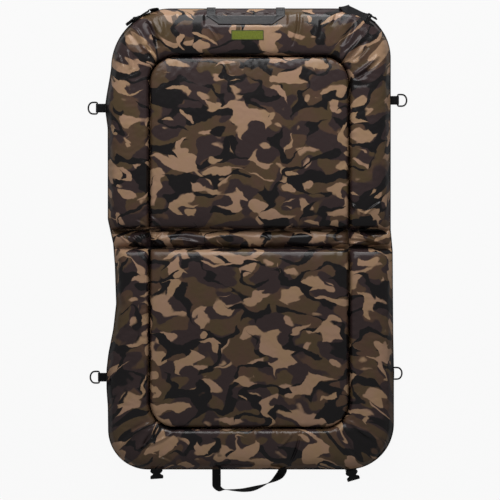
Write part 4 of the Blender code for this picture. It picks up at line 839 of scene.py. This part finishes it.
HANDLE_UPPER = np.vstack((HALF_HANDLE, HALF_HANDLE[::-1] * (-1, 1, 1, -1, 1, 1)))
HANDLE_LOWER = (
    (-86.1, 4.4, 0, -66.2, 4.4, 0), (-86.1, -1.8, -0.3, -66.2, -1.8, -0.3),
    (-86.1, -13.9, -4.6, -66.2, -13.9, -4.6), (-86.1, -26.3, -7.1, -66.2, -25.6, -7.1),
    (-84.5, -41.2, -7.5, -66.3, -33.8, -3.8), (-71.3, -51, -7.7, -65.8, -38, 6.5),
    (-56.9, -47.3, -7.7, -56.6, -43.6, 11.9), (-38.2, -49.8, -7.7, -37.9, -43.6, 11.3),
    (-17.3, -52.1, -7.7, -17.7, -42.2, 9.7), (1.8, -51.3, -7.7, -0.2, -39.2, 8.1),
    (16.2, -47.3, -7.7, 12.8, -36.4, 8.7), (31.8, -39.2, -7.7, 29.2, -32.9, 11.1),
    (48.4, -27.9, -7.7, 48.4, -27.9, 12.2), (57.7, -16, -7.7, 63.4, -23.8, 9.8),
    (63.9, -6.3, -7.6, 77, -17.6, 2.6), (66.7, 1.4, -0.3, 85.6, -5.1, -0.3), (66.2, 4.4, 0, 86.1, 4.4, 0)
)
STRAP_ROOT = (
    (-226.1, 519, 8.6, -206.8, 524.4, 8.6), (-227.4, 523.7, 8.6, -208.1, 529.1, 8.6),
    (-227.7, 524.9, 9, -208.5, 530.3, 9), (-227.9, 525.5, 9.9, -208.6, 530.9, 9.9),
    (-227.9, 525.5, 10.8, -208.6, 530.9, 10.8), (-227.9, 525.5, 11.1, -209.3, 530.8, 16.3),
    (-228.1, 525.5, 11.4, -211.4, 530.2, 21.4), (-228.2, 525.4, 11.6, -214.6, 529.3, 25.8),
    (-228.5, 525.4, 11.8, -218.9, 528.1, 29.2), (-228.8, 525.3, 12, -223.8, 526.7, 31.3),
    (-229.1, 525.2, 12, -229.1, 525.2, 32)
)
STRAP_LEFT = [(x, y, low, x, y, high) for x, y, low, high in (
    (0, 0, -10, 10), (-2.7, -3, -11.4, 8.6), (-6, -4.5, -12.8, 7.1), (-9.3, -6.2, -14.3, 5.7),
    (-12.4, -7.9, -15.7, 4.3), (-15.6, -9.6, -17.1, 2.9), (-18.7, -11.5, -18.5, 1.5),
    (-23.2, -13.6, -18.5, 1.5), (-28, -17.1, -18.5, 1.5), (-32.8, -20.7, -18.5, 1.5),
    (-33.9, -21.2, -18.5, 1.5), (-35.1, -21.1, -18.5, 1.5), (-36.2, -20.6, -18.5, 1.5),
    (-36.9, -19.6, -18.5, 1.5), (-37.1, -18.4, -18.5, 1.5), (-36.7, -17.3, -18.5, 1.5),
    (-35.9, -16.4, -18.5, 1.5), (-34.8, -16, -18.5, 1.5), (-27.9, -15.3, -18.5, 1.5),
    (-24.5, -12.8, -18.5, 1.5)
)]
STRAP_RIGHT = (
    (-10, 0, 0, 10, 0, 0), (-10, 5.8, 0, 10, 5.8, 0), (-9.4, 6.6, 8.6, 10.6, 6.6, 8.6),
    (-6.9, 2.1, 20.4, 11.7, 9.4, 20.4), (-0.4, -8.4, 27.1, 13.4, 6, 24.7),
    (9.7, -13.3, 28.5, 17.8, 4.2, 23.3), (36.7, -26.5, 29.4, 44.8, -9, 24.3),
    (42.1, -29, 29.4, 50.2, -11.5, 24.3), (47.5, -31.6, 29.4, 55.7, -14, 24.3),
    (48.6, -32, 29.7, 56.7, -14.5, 24.5), (49.6, -32.2, 30.4, 57.7, -14.7, 25.2),
    (50.1, -32.2, 31.5, 58.2, -14.6, 26.3), (50.2, -31.9, 32.6, 58.3, -14.3, 27.4),
    (49.9, -31.4, 33.6, 58, -13.9, 28.5), (49.1, -30.8, 34.3, 57.2, -13.3, 29.2),
    (48, -30.3, 34.5, 56.1, -12.7, 29.4), (47, -29.9, 34.2, 55.1, -12.3, 29.1),
    (41.2, -28.2, 30.8, 49.3, -10.7, 25.6), (37.3, -26.5, 30.7, 45.5, -8.9, 25.6)
)


def length_of_webbing(name, node, body, edges, thickness=WEBBING, steps=4, rounded=True,
                      weave=webbing_weave):
    """Webbing between two edges that replaces one solid of the part, rounded or sharply folded."""
    rows = []
    last = len(edges) - 1
    for index in range(last):
        before, here, after, beyond = edges[[max(index - 1, 0), index, index + 1, min(index + 2, last)]]
        for t in np.arange(steps) / steps:
            if rounded:
                rows.append(0.5 * (2 * here + (after - before) * t
                                   + (2 * before - 5 * here + 4 * after - beyond) * t * t
                                   + (3 * here - before - 3 * after + beyond) * t ** 3))
            else:
                rows.append(here * (1 - t) + after * t)
    rows = np.array([*rows, edges[-1]])
    shares = np.linspace(0, 1, 7)[None, :, None]
    made = moved_grid(name, rows[:, None, :3] * (1 - shares) + rows[:, None, 3:] * shares)
    with_settings(made.modifiers.new("wall", "SOLIDIFY"), thickness=thickness, offset=0)
    with_settings(made.modifiers.new("edge", "BEVEL"), width=0.00025, segments=2, limit_method="ANGLE")
    made.data.materials.append(weave)
    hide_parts(node)
    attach(made, body)


def at_seam(rows, seam=(0, 0, 0)):
    """Edges of a tape in metres, moved to where it leaves the seam."""
    return np.array(rows) / 1000 + np.tile(seam, 2)


length_of_webbing("upper_handle", "handle_upper", "handle_upper",
                  at_seam(HANDLE_UPPER, (-0.0081, 0.5279, 0.00835)), HANDLE_WEBBING, rounded=False,
                  weave=painted_lit_handle_weave)
length_of_webbing("lower_handle", "handle_lower", "handle_lower",
                  at_seam(HANDLE_LOWER, (0.00045, -0.53155, 0.00835)), HANDLE_WEBBING, steps=5)
length_of_webbing("left_strap_root", "strap_root_left", "upper_half", at_seam(STRAP_ROOT))
length_of_webbing("left_strap", "strap_left", "strap_left",
                  at_seam(STRAP_LEFT, (-0.229827, 0.524923, 0.022)))
length_of_webbing("right_strap", "strap_right", "strap_right",
                  at_seam(STRAP_RIGHT, (0.216, 0.5267, 0.0086)))

# Folded tabs, each round its bar and back: the bar, the sewn end, half the width across, and how
# far the tape's middle runs from the bar's middle. The two plies meet beyond the wrap.
PLY_GAP = 0.00065
PLIES_MEET = 2.3
WRAP_ANGLE = radians(118)
TABS = (
    ("ring_tab_upper_left", (-0.350815, 0.302, 0.00335), (-0.31951, 0.302, 0.00407), (0, 0.01, 0), 0.0029),
    ("ring_tab_upper_right", (0.342292, 0.320, 0.00335), (0.31249, 0.320, 0.0033), (0, 0.01, 0), 0.0027),
    ("ring_tab_lower_left", (-0.346202, -0.319, 0.00335), (-0.3157, -0.319, 0.00335), (0, 0.01, 0), 0.0027),
    ("ring_tab_lower_right", (0.3313, -0.310, 0.00335), (0.3198, -0.310, 0.0035), (0, 0.01, 0), 0.0027),
    ("socket_tab_left", (-0.215, -0.5255, 0.00405), (-0.21556, -0.51752, 0.00259),
     (0.009976, 0.000698, 0), 0.00265),
    ("socket_tab_right", (0.2335, -0.529788, 0.00405), (0.23005, -0.51777, 0.00282),
     (0.009613, 0.002756, 0), 0.00265),
)
for node, bar, sewn_end, half_across, around in TABS:
    body = "upper_half" if "upper" in node else "lower_half"
    out = Vector(bar) - Vector(sewn_end)
    length = out.length
    out.normalize()
    up = out.cross(Vector(half_across).normalized())
    if up.z < 0:
        up = -up
    path = [(-length, PLY_GAP), (-PLIES_MEET * around, PLY_GAP)]
    for step in range(9):
        angle = WRAP_ANGLE * (1 - step / 4)
        path.append((around * cos(angle), around * sin(angle)))
    path += [(-PLIES_MEET * around, -PLY_GAP), (-length, -PLY_GAP)]
    edges = []
    for along, above in path:
        middle = Vector(bar) + out * along + up * above
        edges.append((*(middle - Vector(half_across)), *(middle + Vector(half_across))))
    length_of_webbing("folded_" + node, node, body, np.array(edges), steps=3)


# D-rings: 3.8 mm steel wire bent to a D and painted black. The straight bar lies in the folded tab
# and the bow on the ground. The sides run straight for half the depth, then close in a flat bow.
RING_WIRE = 0.0038
RING_HALF = 0.0134
RING_OUT = 0.0210
RING_DROOP = 0.062
RING_BOW = ((0.0, 0.58), (0.0, 0.84), (0.045, 0.965), (0.15, 1.0), (0.38, 1.0), (0.58, 0.985),
            (0.76, 0.87), (0.90, 0.61), (0.98, 0.31), (1.0, 0.0))
# An eight-sided section shrinks by a tenth when it is rounded.
SECTION_RADIUS = 0.5 * RING_WIRE / 0.902
ring_paint, tree, shader = start_material("ring_paint", 0.42, 0.12)
ring_place = add_node(tree, "TexCoord").outputs["Object"]
ring_wear = mottle(tree, shader, ring_place, 160, 5, (0.003, 0.003, 0.0035), (0.009, 0.009, 0.0095))
relief(tree, ring_wear, 0.2, 0.0002, shader)
ring_way = np.array([*RING_BOW, *((away, -beside) for away, beside in RING_BOW[-2::-1])])
ring_way = ring_way * (RING_OUT, RING_HALF)
ring_along = np.roll(ring_way, -1, axis=0) - np.roll(ring_way, 1, axis=0)
ring_along /= np.linalg.norm(ring_along, axis=1)[:, None]
wire_angles = np.linspace(0, 2 * pi, 9)
for tab_node, bar, *_ in TABS[:4]:
    ring_node = tab_node.replace("ring_tab", "d_ring")
    side = -1 if bar[0] < 0 else 1
    sections = []
    for (away, beside), (away_run, beside_run) in zip(ring_way, ring_along):
        outwards = away + beside_run * SECTION_RADIUS * np.cos(wire_angles)
        sideways = beside - away_run * SECTION_RADIUS * np.cos(wire_angles)
        upwards = SECTION_RADIUS * np.sin(wire_angles) - outwards * RING_DROOP
        sections.append(np.column_stack((bar[0] + side * outwards, bar[1] + sideways, bar[2] + upwards)))
    ring = moved_grid(ring_node + "_wire", [*sections, sections[0]], closed=True)
    with_settings(ring.modifiers.new("rounder", "SUBSURF"), levels=2, render_levels=2)
    ring.data.materials.append(ring_paint)
    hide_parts(ring_node)
    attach(ring, ring_node)


# Side-release buckles: moulded black acetal, two sockets at the lower end and two prong halves on
# the straps. The CAD shapes stay, with their edges eased.
buckle_plastic, tree, shader = start_material("buckle_plastic", 0.30, 0.16)
grain_place = add_node(tree, "TexCoord").outputs["Object"]
mottle(tree, shader, grain_place, 90, 2, (0.0035, 0.0035, 0.004), (0.007, 0.007, 0.0075))
relief(tree, noise(tree, grain_place, 1400).outputs["Fac"], 0.35, 0.0001, shader)
for buckle_name in ("buckle_socket_left", "buckle_socket_right", "buckle_prong_left", "buckle_prong_right"):
    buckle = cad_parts[buckle_name]
    with_settings(buckle.modifiers.new("merge", "WELD"), merge_threshold=0.00002)
    with_settings(buckle.modifiers.new("eased", "BEVEL"), width=0.0004, segments=2, limit_method="ANGLE",
                  angle_limit=radians(35))
    buckle.data.materials.clear()
    buckle.data.materials.append(buckle_plastic)
